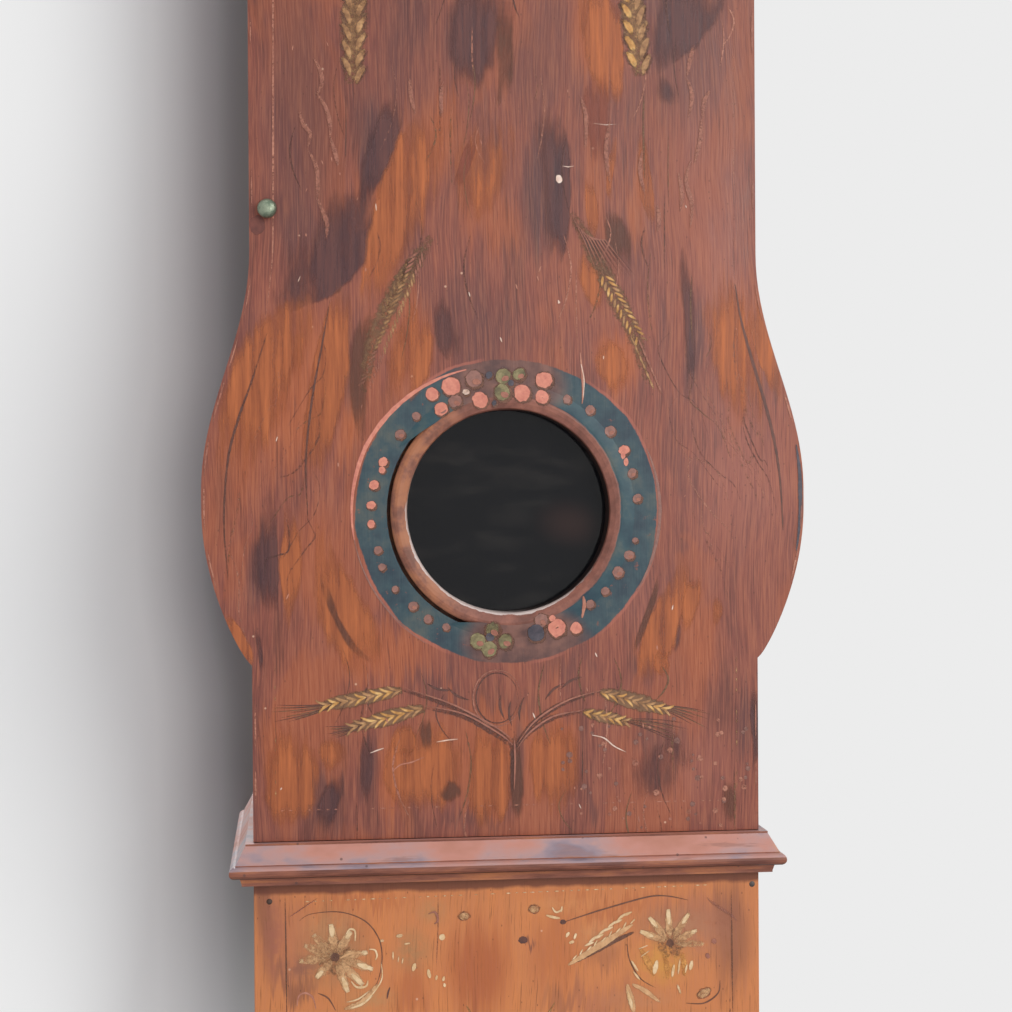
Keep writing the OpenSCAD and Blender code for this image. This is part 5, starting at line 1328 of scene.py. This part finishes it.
# rubbed edges, a little inside the outline
RUBS = 26
for side in (-1, 1):
    for i in range(RUBS):
        z0 = DOOR_Z + 0.03 + (DOOR[1].z - DOOR_Z - 0.06) * i / RUBS
        z1 = z0 + chance.uniform(0.018, 0.040)
        if chance.random() < 0.2:
            continue
        path = []
        for k in range(9):
            z = z0 + (z1 - z0) * k / 8
            path.append((side * (half_width(z) - 0.0021), z))
        in_notch = abs(z0 - DOOR_Z - BELLY_UP) < 0.045 and z1 > DOOR_Z + 0.13
        if not in_notch:
            door[chance.choice(("pale", "pale", "haze"))].stroke(path, chance.uniform(0.0010, 0.0020), 0.5)
ear = [(HALF + belly(t) - 0.0028, DOOR_Z + BELLY_UP + t) for t in (0.085, 0.11, 0.13, 0.15, 0.17)]
door["ink"].curve(ear, 0.0042, 0.8)
dry(door)

# Plinth ornament

plinth = brushes("plinth", "case", PLINTH_FACE, 40)


def petal(b, centre, tip, wide, bright):
    """A petal: a soft fill, a dark fold along it and a light tip."""
    dx, dz = tip[0] - centre[0], tip[1] - centre[1]

    def along(start, stop, steps=6):
        return [(centre[0] + dx * (start + (stop - start) * i / steps),
                 centre[1] + dz * (start + (stop - start) * i / steps)) for i in range(steps + 1)]

    b["fawn"].stroke(along(0.12, 1.0), wide, 0.38 + 0.14 * bright, ends=(0.15, 0.6))
    b["umber"].stroke(along(0.15, 0.75), wide * 0.24, 0.42, ends=(0.3, 0.1))
    b["cream"].stroke(along(1 - 0.45 * bright, 1.0), wide * 0.52, 0.2 + 0.6 * bright, ends=(0.3, 0.9))


def daisy(b, centre, r, petals, seed, tips=None):
    """A flower of soft petals with pale tips round a small eye."""
    chance = random.Random(seed)
    if tips is None:
        tips = []
        for i in range(petals):
            a = 2 * math.pi * i / petals + chance.uniform(-0.1, 0.1)
            long = r * chance.uniform(0.88, 1.08)
            bright = chance.uniform(0.4, 1.0)
            tips.append((centre[0] + long * math.cos(a), centre[1] + long * math.sin(a), bright))
    b["olive"].dab(centre, r * 0.5, cover=0.30)
    for x, z, bright in tips:
        petal(b, centre, (x, z), r * 0.30, bright)
    b["umber"].dab(centre, r * 0.13, cover=0.5)


def spray(b, start, end, leaves, size, key="gold"):
    """A stem with pairs of leaves."""
    (x0, z0), (x1, z1) = start, end
    heading = math.degrees(math.atan2(z1 - z0, x1 - x0))
    b["olive"].stroke(straight(start, end, 8), size * 0.7, 0.4)
    for i in range(leaves):
        t = i / leaves
        for side in (-1, 1):
            b[key if side > 0 else "cream"].leaf(
                (x0 + (x1 - x0) * t, z0 + (z1 - z0) * t), heading + side * 24, size * 0.8, size * 0.22, 0.8)


def on_plinth(px, py):
    """The place on the plinth of a pixel of the photograph."""
    return spot(px, py, PLINTH_FACE)


def tips_at(*rows):
    """The petals' tips on the plinth, in pixels, with the brightness of each."""
    return [(*on_plinth(px, py), bright) for px, py, bright in rows]


daisy(plinth, on_plinth(335, 957), 0.032, 0, 3, tips_at(
    (331, 924, 0.9), (351, 931, 0.7), (368, 952, 0.5), (373, 969, 0.95), (363, 985, 0.9), (348, 992, 0.95),
    (316, 978, 0.8), (313, 934, 0.25), (304, 945, 0.3), (299, 961, 0.35)))
daisy(plinth, on_plinth(670, 943), 0.027, 0, 4, tips_at(
    (649, 917, 0.9), (668, 909, 1.0), (689, 913, 0.8), (640, 931, 1.0), (697, 930, 0.6), (704, 944, 0.2)))
# strokes in the photograph's pixels: paint, width, cover and the points that they pass
PLINTH_STROKES = (
    # left flower: ring line, hooked tips, arc and leaves below it
    ("umber", 1.6, 0.55, (299, 921), (311, 914), (340, 912), (365, 921), (379, 939), (382, 960),
     (377, 983), (365, 996)),
    ("cream", 2.6, 0.9, (346, 934), (350, 929), (355, 931), (355, 941)),
    ("cream", 2.4, 0.8, (369, 949), (375, 950), (377, 956), (375, 960)),
    ("cream", 3.0, 0.8, (351, 981), (357, 987), (366, 986), (368, 980)),
    ("fawn", 3.2, 0.9, (340, 958), (352, 953), (366, 953)),
    ("cream", 1.8, 0.7, (381, 962), (382, 978), (374, 992), (366, 1000)),
    ("cream", 3.0, 0.7, (350, 1008), (362, 1004), (373, 995)),
    ("cream", 2.4, 0.6, (346, 1002), (358, 999), (370, 990)),
    ("fawn", 8.0, 0.6, (344, 1009), (362, 1002), (378, 984)),
    ("pale", 2.6, 0.8, (297, 1006), (299, 996), (306, 993), (313, 998), (316, 1009)),
    ("umber", 2.0, 0.6, (317, 993), (328, 998), (336, 1011)),
    ("umber", 2.0, 0.5, (285, 896), (286, 950), (287, 1030)),
    ("umber", 1.6, 0.35, (438, 892), (438, 930), (436, 972)),
    # the small bunch beside it
    ("cream", 4.6, 1.0, (413, 971), (415, 963)), ("cream", 4.4, 0.9, (430, 978), (428, 969)),
    ("cream", 3.0, 0.7, (436, 980), (437, 975)), ("cream", 3.4, 0.8, (443, 981), (444, 976)),
    ("cream", 3.4, 0.7, (445, 987), (444, 983)), ("cream", 5.0, 0.5, (396, 936), (403, 935)),
    ("cream", 2.4, 0.6, (404, 944), (410, 943)), ("cream", 4.4, 0.4, (380, 941), (384, 940)),
    ("cream", 1.8, 0.6, (393, 960), (393, 951)), ("cream", 1.6, 0.5, (398, 962), (399, 955)),
    ("cream", 1.6, 0.5, (402, 964), (403, 957)),
    ("haze", 3.0, 0.6, (428, 914), (435, 912), (438, 920), (434, 924)),
    ("shade", 2.2, 0.9, (387, 999), (388, 993), (390, 987)),
    # motifs and long line of the right half
    ("umber", 2.0, 0.75, (561, 923), (582, 916), (604, 909), (647, 897), (667, 896), (688, 900)),
    ("cream", 3.4, 0.9, (546, 915), (553, 917), (560, 918)),
    ("cream", 2.6, 0.8, (552, 907), (556, 912), (563, 909)),
    ("cream", 2.4, 0.7, (562, 906), (561, 912)), ("cream", 3.6, 0.9, (566, 937), (569, 932)),
    ("cream", 3.4, 0.8, (574, 939), (576, 933)), ("cream", 3.8, 0.9, (569, 943), (574, 941)),
    # golden fan below the right flower
    ("amber", 9, 0.5, (640, 948), (648, 962), (654, 976)),
    ("amber", 8, 0.45, (664, 954), (667, 966), (668, 980)),
    ("amber", 8, 0.45, (682, 952), (684, 964), (684, 976)),
    ("cream", 6.0, 0.85, (654, 974), (657, 960)), ("cream", 3.6, 0.7, (672, 977), (674, 964)),
    ("cream", 2.4, 0.6, (678, 974), (680, 958)), ("cream", 5.0, 0.7, (690, 970), (692, 960)),
    ("cream", 2.6, 0.6, (685, 973), (687, 964)), ("cream", 1.8, 0.5, (638, 949), (648, 945)),
    ("cream", 1.8, 0.5, (640, 957), (650, 950)), ("cream", 3.0, 0.7, (631, 960), (638, 971)),
    ("cream", 2.6, 0.7, (633, 971), (640, 980)), ("cream", 3.0, 0.5, (677, 984), (681, 994)),
    ("umber", 1.8, 0.5, (627, 936), (629, 958), (640, 978), (656, 988)),
    ("fawn", 8.0, 0.9, (627, 984), (631, 1000), (634, 1012)),
    ("cream", 4.4, 0.8, (628, 991), (630, 1000), (632, 1008)),
    ("fawn", 6.0, 0.7, (632, 984), (644, 990), (660, 1002)),
    ("umber", 2.2, 0.6, (686, 1003), (704, 1003), (718, 993), (720, 980)),
    ("umber", 1.8, 0.42, (731, 886), (732, 950), (733, 1030)),
    ("haze", 7.0, 0.6, (712, 939), (716, 943)), ("haze", 6.0, 0.6, (706, 953), (709, 958)),
    # the pale solid side of the lower spray, and its dark underside
    ("umber", 7.0, 0.6, (576, 962), (604, 946), (634, 932)),
    ("fawn", 8.0, 0.95, (568, 965), (600, 945), (633, 924)),
)
for key, width, cover, *points in PLINTH_STROKES:
    plinth[key].curve(at(*points, y=PLINTH_FACE), width * PX, cover, steps=6)
for px, py, wide, tall, lean in ((704, 993, 8, 4.6, 30), (534, 909, 5.6, 4.0, 0), (464, 916, 6, 4.2, 0)):
    plinth["umber"].dab(on_plinth(px, py), (wide + 1.6) * PX, (tall + 1.6) * PX, 0.36, lean)
    plinth["fawn"].dab(on_plinth(px, py), wide * PX, tall * PX, 0.42, lean)
plinth["cream"].dab(on_plinth(442, 937), 3.4 * PX, cover=0.9)
plinth["umber"].dab(on_plinth(442, 937), 1.6 * PX, cover=0.9)
for px, py, size in ((523, 940, 5.0), (563, 922, 3.4)):
    plinth["shade"].dab(on_plinth(px, py), size * PX, size * 0.8 * PX, 0.9)
for i in range(9):
    # small light leaves along the two sprays, and thin strokes in the outer corners
    t, odd = i / 8, i % 2
    plinth["cream"].leaf(on_plinth(584 + 38 * t, 946 - 30 * t), 22 + 14 * odd, 0.0085, 0.0026, 0.8)
    plinth["cream"].leaf(on_plinth(572 + 58 * t, 960 - 36 * t), 46 + 16 * odd, 0.0060, 0.0016, 0.6)
    plinth["haze"].leaf(on_plinth(706 + 3 * i, 896 + 2 * i), -52, 0.010, 0.0012, 0.42)
    plinth["haze"].leaf(on_plinth(288 + 2.4 * i, 918 - 1.6 * i), 34, 0.010, 0.0011, 0.38)

# the rest of the plinth, below the photograph, in the same hand
for side in (-1, 1):
    daisy(plinth, (side * 0.105, 0.205), 0.030, 11, 8 + side)
    spray(plinth, (side * 0.020, 0.165), (side * 0.075, 0.235), 6, 0.013)
    spray(plinth, (side * 0.150, 0.160), (side * 0.125, 0.290), 7, 0.011, "straw")
    for points, width in (
        ([(0, 0.125), (side * 0.035, 0.150), (side * 0.070, 0.160), (side * 0.105, 0.172)], 0.0030),
        ([(side * 0.012, 0.130), (side * 0.020, 0.200), (side * 0.012, 0.280), (side * 0.035, 0.330)],
         0.0024),
    ):
        plinth["olive"].curve(points, width * 1.6, 0.65)
        plinth["gold"].curve(points, width * 0.6, 0.7)
    for i in range(6):
        start = (side * (0.016 + 0.004 * i), 0.18 + 0.022 * i)
        plinth["gold"].leaf(start, 90 - side * (40 + 4 * i), 0.014, 0.004, 0.8)
daisy(plinth, (0, 0.250), 0.022, 9, 30)
for side in (-1, 1):
    x = side * (HALF - 0.024)
    dotted(plinth, "shade", (x, 0.330), (x, 0.100), 0.009, 0.0016, 0.5, 50 + side, 0.85)
dotted(plinth, "cream", on_plinth(305, 901.5), on_plinth(710, 884.5), 0.0062, 0.0013, 0.6, 61, 0.85)
dotted(plinth, "gold", (-0.176, 0.100), (0.176, 0.100), 0.0062, 0.0013, 0.7, 63, 0.8)
dry(plinth)

# Hood ornament

crest = brushes("crest", "case", CREST[0].y, 60)
crest_z = CREST[0].z
daisy(crest, (0, crest_z + 0.060), 0.024, 12, 70)
for side in (-1, 1):
    spray(crest, (side * 0.034, crest_z + 0.050), (side * 0.096, crest_z + 0.040), 7, 0.012)
    crest["olive"].curve([(side * 0.020, crest_z + 0.036), (side * 0.060, crest_z + 0.031),
                          (side * 0.112, crest_z + 0.030)], 0.003, 0.7)
    for i in range(4):
        crest["pale"].leaf((side * (0.036 + 0.020 * i), crest_z + 0.030), 90 - side * 50, 0.013, 0.004, 0.7)
dry(crest)

frame_paint = brushes("hood_front", "hood_door", HOOD[0].y, 80)
for side in (-1, 1):
    x = side * 0.180
    for i in range(9):
        z = HOOD[0].z + 0.075 + 0.036 * i
        frame_paint["pale"].leaf((x, z), 90 - side * 32, 0.026, 0.0052, 0.65, 0.14 * side)
        frame_paint["straw"].leaf((x, z + 0.012), 90 + side * 32, 0.020, 0.0036, 0.65, -0.14 * side)
    frame_paint["olive"].curve([(x, HOOD[0].z + 0.05 + 0.08 * k) for k in range(6)], 0.0022, 0.7)
    foot, tip = (side * 0.012, HOOD[0].z + 0.022), (side * 0.085, HOOD[0].z + 0.024)
    bearded_ear(frame_paint, foot, tip, 0.012, 10, 0.05)
    daisy(frame_paint, (side * 0.172, HOOD[1].z - 0.036), 0.020, 10, 90 + side)
daisy(frame_paint, (0, HOOD[0].z + 0.022), 0.015, 9, 95)
dry(frame_paint)

# Dial: minute track, hour numerals, winding eyelets

# the dome of the dial: shares of its radius, and its height there in millimetres
DIAL_PROFILE = ((0.0, 4.0), (0.35, 3.8), (0.7, 3.2), (0.97, 1.8), (1.0, 1.0))
DIAL_BACK = DIAL[0].y + 0.004


def dial_y(r, lift=0.00016):
    """Where the front of the domed dial stands at a distance from its centre."""
    share = r / DIAL_R
    for (r0, h0), (r1, h1) in zip(DIAL_PROFILE, DIAL_PROFILE[1:]):
        if share <= r1:
            return DIAL_BACK - (h0 + (h1 - h0) * (share - r0) / (r1 - r0)) / 1000 - lift
    return DIAL_BACK - 0.001 - lift


dial_black = Shader("dial_black", Roughness=0.3)
dial_black.surface(Base_Color=dial_black.ramp(
    dial_black.noise(dial_black.place, 240, 3), (0.4, ink(22, 20, 24)), (0.7, ink(52, 46, 46))))
marks, mark_faces = [], []


def mark(corners):
    """A mark on the dial, cut fine enough to follow the dome. Its corners are (x, z) from the centre."""
    n = 4
    a, b, c, d = (Vector(p) for p in corners)
    first = len(marks)
    for i in range(n + 1):
        for j in range(n + 1):
            u, v = i / n, j / n
            p = (a * (1 - u) + b * u) * (1 - v) + (d * (1 - u) + c * u) * v
            marks.append((DIAL_AT[0] + p.x, dial_y(p.length), DIAL_AT[1] + p.y))
    for i in range(n):
        for j in range(n):
            k = first + i * (n + 1) + j
            mark_faces.append((k, k + 1, k + n + 2, k + n + 1))


def turned_to(x, y, angle):
    """A point of an upright numeral, x to its right and y up from the dial's centre, at an hour's angle."""
    a = math.radians(angle)
    return x * math.cos(a) + y * math.sin(a), -x * math.sin(a) + y * math.cos(a)


def bar(x0, y0, x1, y1, width, angle):
    """A straight stroke of an upright numeral, at an hour's angle."""
    dx, dy = x1 - x0, y1 - y0
    size = math.hypot(dx, dy)
    nx, ny = -dy / size * width / 2, dx / size * width / 2
    mark([turned_to(x0 + nx, y0 + ny, angle), turned_to(x1 + nx, y1 + ny, angle),
          turned_to(x1 - nx, y1 - ny, angle), turned_to(x0 - nx, y0 - ny, angle)])


GLYPHS = {"I": 0.0050, "V": 0.0105, "X": 0.0105}
NUMERALS = ("XII", "I", "II", "III", "IIII", "V", "VI", "VII", "VIII", "IX", "X", "XI")
low_r, high_r = DIAL_R * 0.655, DIAL_R * 0.835
for hour, word in enumerate(NUMERALS):
    angle = hour * 30
    total = sum(GLYPHS[g] for g in word)
    pen = -total / 2
    for glyph in word:
        wide = GLYPHS[glyph]
        left, mid, end = pen + 0.0009, pen + wide / 2, pen + wide - 0.0009
        if glyph == "I":
            bar(mid, low_r, mid, high_r, 0.0023, angle)
        elif glyph == "V":
            bar(left + 0.001, high_r, mid, low_r, 0.0025, angle)
            bar(end - 0.001, high_r, mid, low_r, 0.0009, angle)
        else:
            bar(left + 0.001, high_r, end - 0.001, low_r, 0.0025, angle)
            bar(end - 0.001, high_r, left + 0.001, low_r, 0.0009, angle)
        pen += wide
    bar(-total / 2 + 0.0006, low_r, total / 2 - 0.0006, low_r, 0.0007, angle)
    bar(-total / 2 + 0.0006, high_r, total / 2 - 0.0006, high_r, 0.0007, angle)
for minute in range(60):
    angle = minute * 6
    if minute % 5:
        bar(0, DIAL_R * 0.885, 0, DIAL_R * 0.925, 0.0006, angle)
    else:
        bar(0, DIAL_R * 0.870, 0, DIAL_R * 0.940, 0.0020, angle)
        bar(0, DIAL_R * 0.585, 0, DIAL_R * 0.615, 0.0012, angle)
for r in (0.882, 0.928, 0.612):
    for i in range(120):
        a0, a1 = math.radians(3 * i), math.radians(3 * i + 3.02)
        inner, outer = DIAL_R * r - 0.00028, DIAL_R * r + 0.00028
        mark([(inner * math.sin(a0), inner * math.cos(a0)), (inner * math.sin(a1), inner * math.cos(a1)),
              (outer * math.sin(a1), outer * math.cos(a1)), (outer * math.sin(a0), outer * math.cos(a0))])
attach(mesh_piece("dial_marks", marks, mark_faces, dial_black.material), "case")


def lathe(name, profile, centre, material, body, steps):
    """A piece turned round an axis that points forward: its profile is (radius, how far forward)."""
    vertices, faces = [], []
    n = len(profile)
    for i in range(steps):
        a = 2 * math.pi * i / steps
        for r, along in profile:
            vertices.append((centre[0] + r * math.cos(a), centre[1] - along, centre[2] + r * math.sin(a)))
    for i in range(steps):
        for k in range(n - 1):
            j = (i + 1) % steps
            faces.append((i * n + k, j * n + k, j * n + k + 1, i * n + k + 1))
    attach(mesh_piece(name, vertices, faces, material, smooth=True), body)


for name, node in (("eyelet_going", "going_drum"), ("eyelet_strike", "strike_drum")):
    x, z = middle(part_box(node))
    r = math.hypot(x - DIAL_AT[0], z - DIAL_AT[1])
    y = dial_y(r, 0)
    lathe(name, [(0.0056, -0.003), (0.0056, 0.0006), (0.0062, 0.0011), (0.0074, 0.0009), (0.0082, 0.0001)],
          (x, y, z), brass.material, "case", 40)

# Embossed brass round the dial

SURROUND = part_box("brass_surround")
emboss_v, emboss_f = [], []


def boss(x, z, wide, tall, high, lean=0.0, rings=4, steps=14):
    """A low raised oval on the brass sheet."""
    first = len(emboss_v)
    turn = math.radians(lean)
    y = SURROUND[0].y
    emboss_v.append((x, y - high, z))
    for ring in range(1, rings + 1):
        t = ring / rings
        height = high * math.cos(math.pi / 2 * t)
        for i in range(steps):
            a = 2 * math.pi * i / steps
            u, v = wide * t * math.cos(a), tall * t * math.sin(a)
            emboss_v.append((x + u * math.cos(turn) - v * math.sin(turn), y - height + 0.00002,
                             z + u * math.sin(turn) + v * math.cos(turn)))
    for i in range(steps):
        j = (i + 1) % steps
        emboss_f.append((first, first + 1 + j, first + 1 + i))
        for ring in range(rings - 1):
            a, b = first + 1 + ring * steps, first + 1 + (ring + 1) * steps
            emboss_f.append((a + i, a + j, b + j, b + i))


sheet_half = (SURROUND[1].x - SURROUND[0].x) / 2
for i in range(96):
    boss(*polar(DIAL_AT, DIAL_R + 0.0050, 360 * i / 96), 0.0024, 0.0024, 0.0014, rings=3, steps=8)
for i in range(48):
    a = 360 * i / 48
    boss(*polar(DIAL_AT, DIAL_R + 0.0125, a), 0.0046, 0.0030, 0.0016, a, rings=3, steps=10)
for sx in (-1, 1):
    for sz in (-1, 1):
        cx, cz = sx * (sheet_half - 0.027), DIAL_AT[1] + sz * 0.118
        for k in range(8):
            boss(*polar((cx, cz), 0.010, 45 * k), 0.0075, 0.0036, 0.0022, 45 * k)
        boss(cx, cz, 0.0045, 0.0045, 0.0028)
        for k in range(5):
            t = k / 4
            a = 90 * t
            lx = cx - sx * 0.030 * math.sin(math.radians(a)) + sx * 0.006
            lz = cz - sz * 0.034 * math.cos(math.radians(a)) - sz * 0.004
            boss(lx, lz, 0.0088 - 0.003 * t, 0.0034, 0.0019, (a + 60) * sx * sz)
for k in range(-4, 5):
    a = 90 - 13 * k
    ax, az = polar((0, SURROUND[1].z - sheet_half), 0.120, a)
    if az - DIAL_AT[1] > DIAL_R + 0.028 or abs(ax) > 0.10:
        boss(ax, az, 0.0090, 0.0038, 0.0020, a)
flower = (0, DIAL_AT[1] + DIAL_R + 0.038)
for k in range(7):
    a = 360 / 7 * k
    boss(*polar(flower, 0.011, a), 0.0085, 0.0040, 0.0024, a)
boss(*flower, 0.0052, 0.0052, 0.0032)
emboss = mesh_piece("embossed_relief", emboss_v, emboss_f, sheet_brass.material, smooth=True)
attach(emboss, "case")

# Cords: windings on the drums and twisted falls


def rope(name, points, r, material, sides, strands=3, turns_per_m=240):
    """A laid rope along a list of points: its round outline is fluted by the strands, which turn along it."""
    vertices, faces = [], []
    run = 0.0
    for i, p in enumerate(points):
        before, after = points[max(0, i - 1)], points[min(len(points) - 1, i + 1)]
        tangent = (after - before).normalized()
        side = tangent.cross(Vector((0, 1, 0)))
        if side.length < 0.3:
            side = tangent.cross(Vector((0, 0, 1)))
        side.normalize()
        other = tangent.cross(side)
        if i:
            run += (p - points[i - 1]).length
        phase = run * turns_per_m * 2 * math.pi / strands
        for k in range(sides * strands):
            a = 2 * math.pi * k / (sides * strands)
            size = r * (0.86 + 0.14 * abs(math.cos(strands / 2 * (a - phase))))
            vertices.append(p + side * (size * math.cos(a)) + other * (size * math.sin(a)))
    ring = sides * strands
    for i in range(len(points) - 1):
        for k in range(ring):
            a, b = i * ring + k, i * ring + (k + 1) % ring
            faces.append((a, b, b + ring, a + ring))
    faces.append(tuple(range(ring))[::-1])
    faces.append(tuple((len(points) - 1) * ring + k for k in range(ring)))
    return mesh_piece(name, vertices, faces, material, smooth=True)


# how finely the fall is cut along its length, and how the cord lies on a drum
SLICES = 520
LAPS, LAP_STEPS, PITCH = 7, 36, 0.0030
for prefix, side in (("going", 1), ("strike", -1)):
    cord_box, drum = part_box(f"{prefix}_cord"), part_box(f"{prefix}_drum")
    cord_r = (cord_box[1].x - cord_box[0].x) / 2
    x, y = (cord_box[0].x + cord_box[1].x) / 2, (cord_box[0].y + cord_box[1].y) / 2
    z0, z1 = cord_box[0].z, cord_box[1].z
    line = [Vector((x, y, z0 + (z1 - z0) * i / SLICES)) for i in range(SLICES + 1)]
    fall = rope(f"{prefix}_fall", line, cord_r * 0.97, gut.material, sides=3)
    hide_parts(f"{prefix}_cord")
    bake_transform(fall)
    # the turns already wound on the drum, lying in its grooves behind the fall
    cx, cz = middle(drum)
    wound_r = abs(x - cx)
    turns = []
    for i in range(LAPS * LAP_STEPS + 1):
        a = 2 * math.pi * i / LAP_STEPS
        turns.append(Vector((cx + side * wound_r * math.cos(a), y + 0.0012 + PITCH * i / LAP_STEPS,
                             cz + wound_r * math.sin(a))))
    wound = rope(f"{prefix}_wound", turns, cord_r * 0.9, gut.material, sides=2)
    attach(wound, f"{prefix}_drum")

# Nails


def studs(name, places, r, high, material, body, y):
    """Round nail heads on a front plane."""
    vertices, faces = [], []
    for x, z in places:
        first = len(vertices)
        vertices.append((x, y - high, z))
        for ring in range(1, 4):
            t = ring / 3
            for i in range(12):
                a = 2 * math.pi * i / 12
                vertices.append((x + r * t * math.cos(a), y - high * math.cos(math.pi / 2 * t) + 0.00001,
                                 z + r * t * math.sin(a)))
        faces += fan(first, 12, 3)
    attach(mesh_piece(name, vertices, faces, material, smooth=True), body)


studs("plinth_nails", [on_plinth(752, 884), (-0.188, 0.416), (-0.188, 0.12), (0.188, 0.12)],
      0.0024, 0.0005, iron.material, "case", PLINTH_FACE)

# Floor and wall

ROOM = ink(236, 236, 236)
WALL_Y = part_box("back_planks")[1].y + 0.010


def disc(name, centre, axes, rings, material):
    """A flat sheet of rings round a point."""
    u, v = Vector(axes[0]), Vector(axes[1])
    vertices, steps = [Vector(centre)], 64
    for r in rings:
        for i in range(steps):
            a = 2 * math.pi * i / steps
            vertices.append(Vector(centre) + u * (r * math.cos(a)) + v * (r * math.sin(a)))
    mesh_piece(name, vertices, fan(0, steps, len(rings)), material)


def room_paint(name, centre, near, far, tone):
    """Matt paint that passes into the plain background with the distance from a point."""
    s = Shader(name, Roughness=0.9, Specular_IOR_Level=0.1)
    away = s.vector("DISTANCE", s.place, centre)
    lighter = (*(c * 1.02 for c in tone[:3]), 1)
    s.surface(Base_Color=s.ramp(s.noise(s.place, 3), (0.3, tone), (0.7, lighter)))
    glow = s.node("ShaderNodeEmission")
    glow.inputs[0].default_value = ROOM
    s.shown = s.node("ShaderNodeMixShader")
    s.fade = s.fit(away, near, far)
    s.feed(s.shown.inputs[0], s.fade)
    s.tree.links.new(s.skin.outputs[0], s.shown.inputs[1])
    s.tree.links.new(glow.outputs[0], s.shown.inputs[2])
    s.tree.links.new(s.shown.outputs[0], s.out.inputs[0])
    return s


ground = room_paint("floor_paint", (0, 0.1, 0), 0.5, 1.4, ink(240, 240, 239))
disc("floor", (0, 0.1, -0.0005), ((1, 0, 0), (0, 1, 0)), (0.5, 1.0, 2.0, 4.0, 9.0), ground.material)

# the wall shows only from its front, and throws no shadow on the back of the clock
plaster = room_paint("wall_paint", (0, WALL_Y, 1.0), 0.55, 1.3, ink(243, 245, 246))
# a painted shadow: the wall's colour darkens near the left side of the clock, where hardly any light gets in
wall_x, _, wall_z = plaster.axes()
swell = plaster.fit(plaster.math("ABSOLUTE", plaster.math("SUBTRACT", wall_z, 0.70)), 0.17, 0.03, 0.0, 0.018)
painted_shadow_reach = plaster.fit(plaster.math("ADD", wall_x, swell), -0.330, -0.205)
plaster.surface(Base_Color=plaster.ramp(
    painted_shadow_reach, (0.0, ink(243, 245, 246)), (0.22, ink(240, 242, 243)), (0.52, ink(218, 220, 222)),
    (0.86, ink(176, 178, 182)), (1.0, ink(136, 138, 142))))
open_up = plaster.fit(plaster.math("ABSOLUTE", plaster.math("SUBTRACT", wall_z, 0.66)), 0.10, 0.46, 0.28, 1.0)
plaster.feed(plaster.shown.inputs[0], plaster.most([
    plaster.fade, plaster.fit(wall_x, -0.10, 0.12),
    plaster.math("MULTIPLY", open_up, plaster.fit(wall_x, -0.24, -0.46))]))
rays = plaster.node("ShaderNodeLightPath")
behind = plaster.node("ShaderNodeNewGeometry").outputs["Backfacing"]
hidden = plaster.math("MAXIMUM", behind, plaster.math("SUBTRACT", 1.0, plaster.math(
    "MAXIMUM", rays.outputs["Is Camera Ray"], rays.outputs["Is Transmission Ray"])))
clear, gate = plaster.node("ShaderNodeBsdfTransparent"), plaster.node("ShaderNodeMixShader")
plaster.feed(gate.inputs[0], hidden)
plaster.tree.links.new(plaster.shown.outputs[0], gate.inputs[1])
plaster.tree.links.new(clear.outputs[0], gate.inputs[2])
plaster.tree.links.new(gate.outputs[0], plaster.out.inputs[0])
disc("wall", (0, WALL_Y, 1.0), ((1, 0, 0), (0, 0, 1)), (0.5, 1.0, 2.0, 4.0), plaster.material)
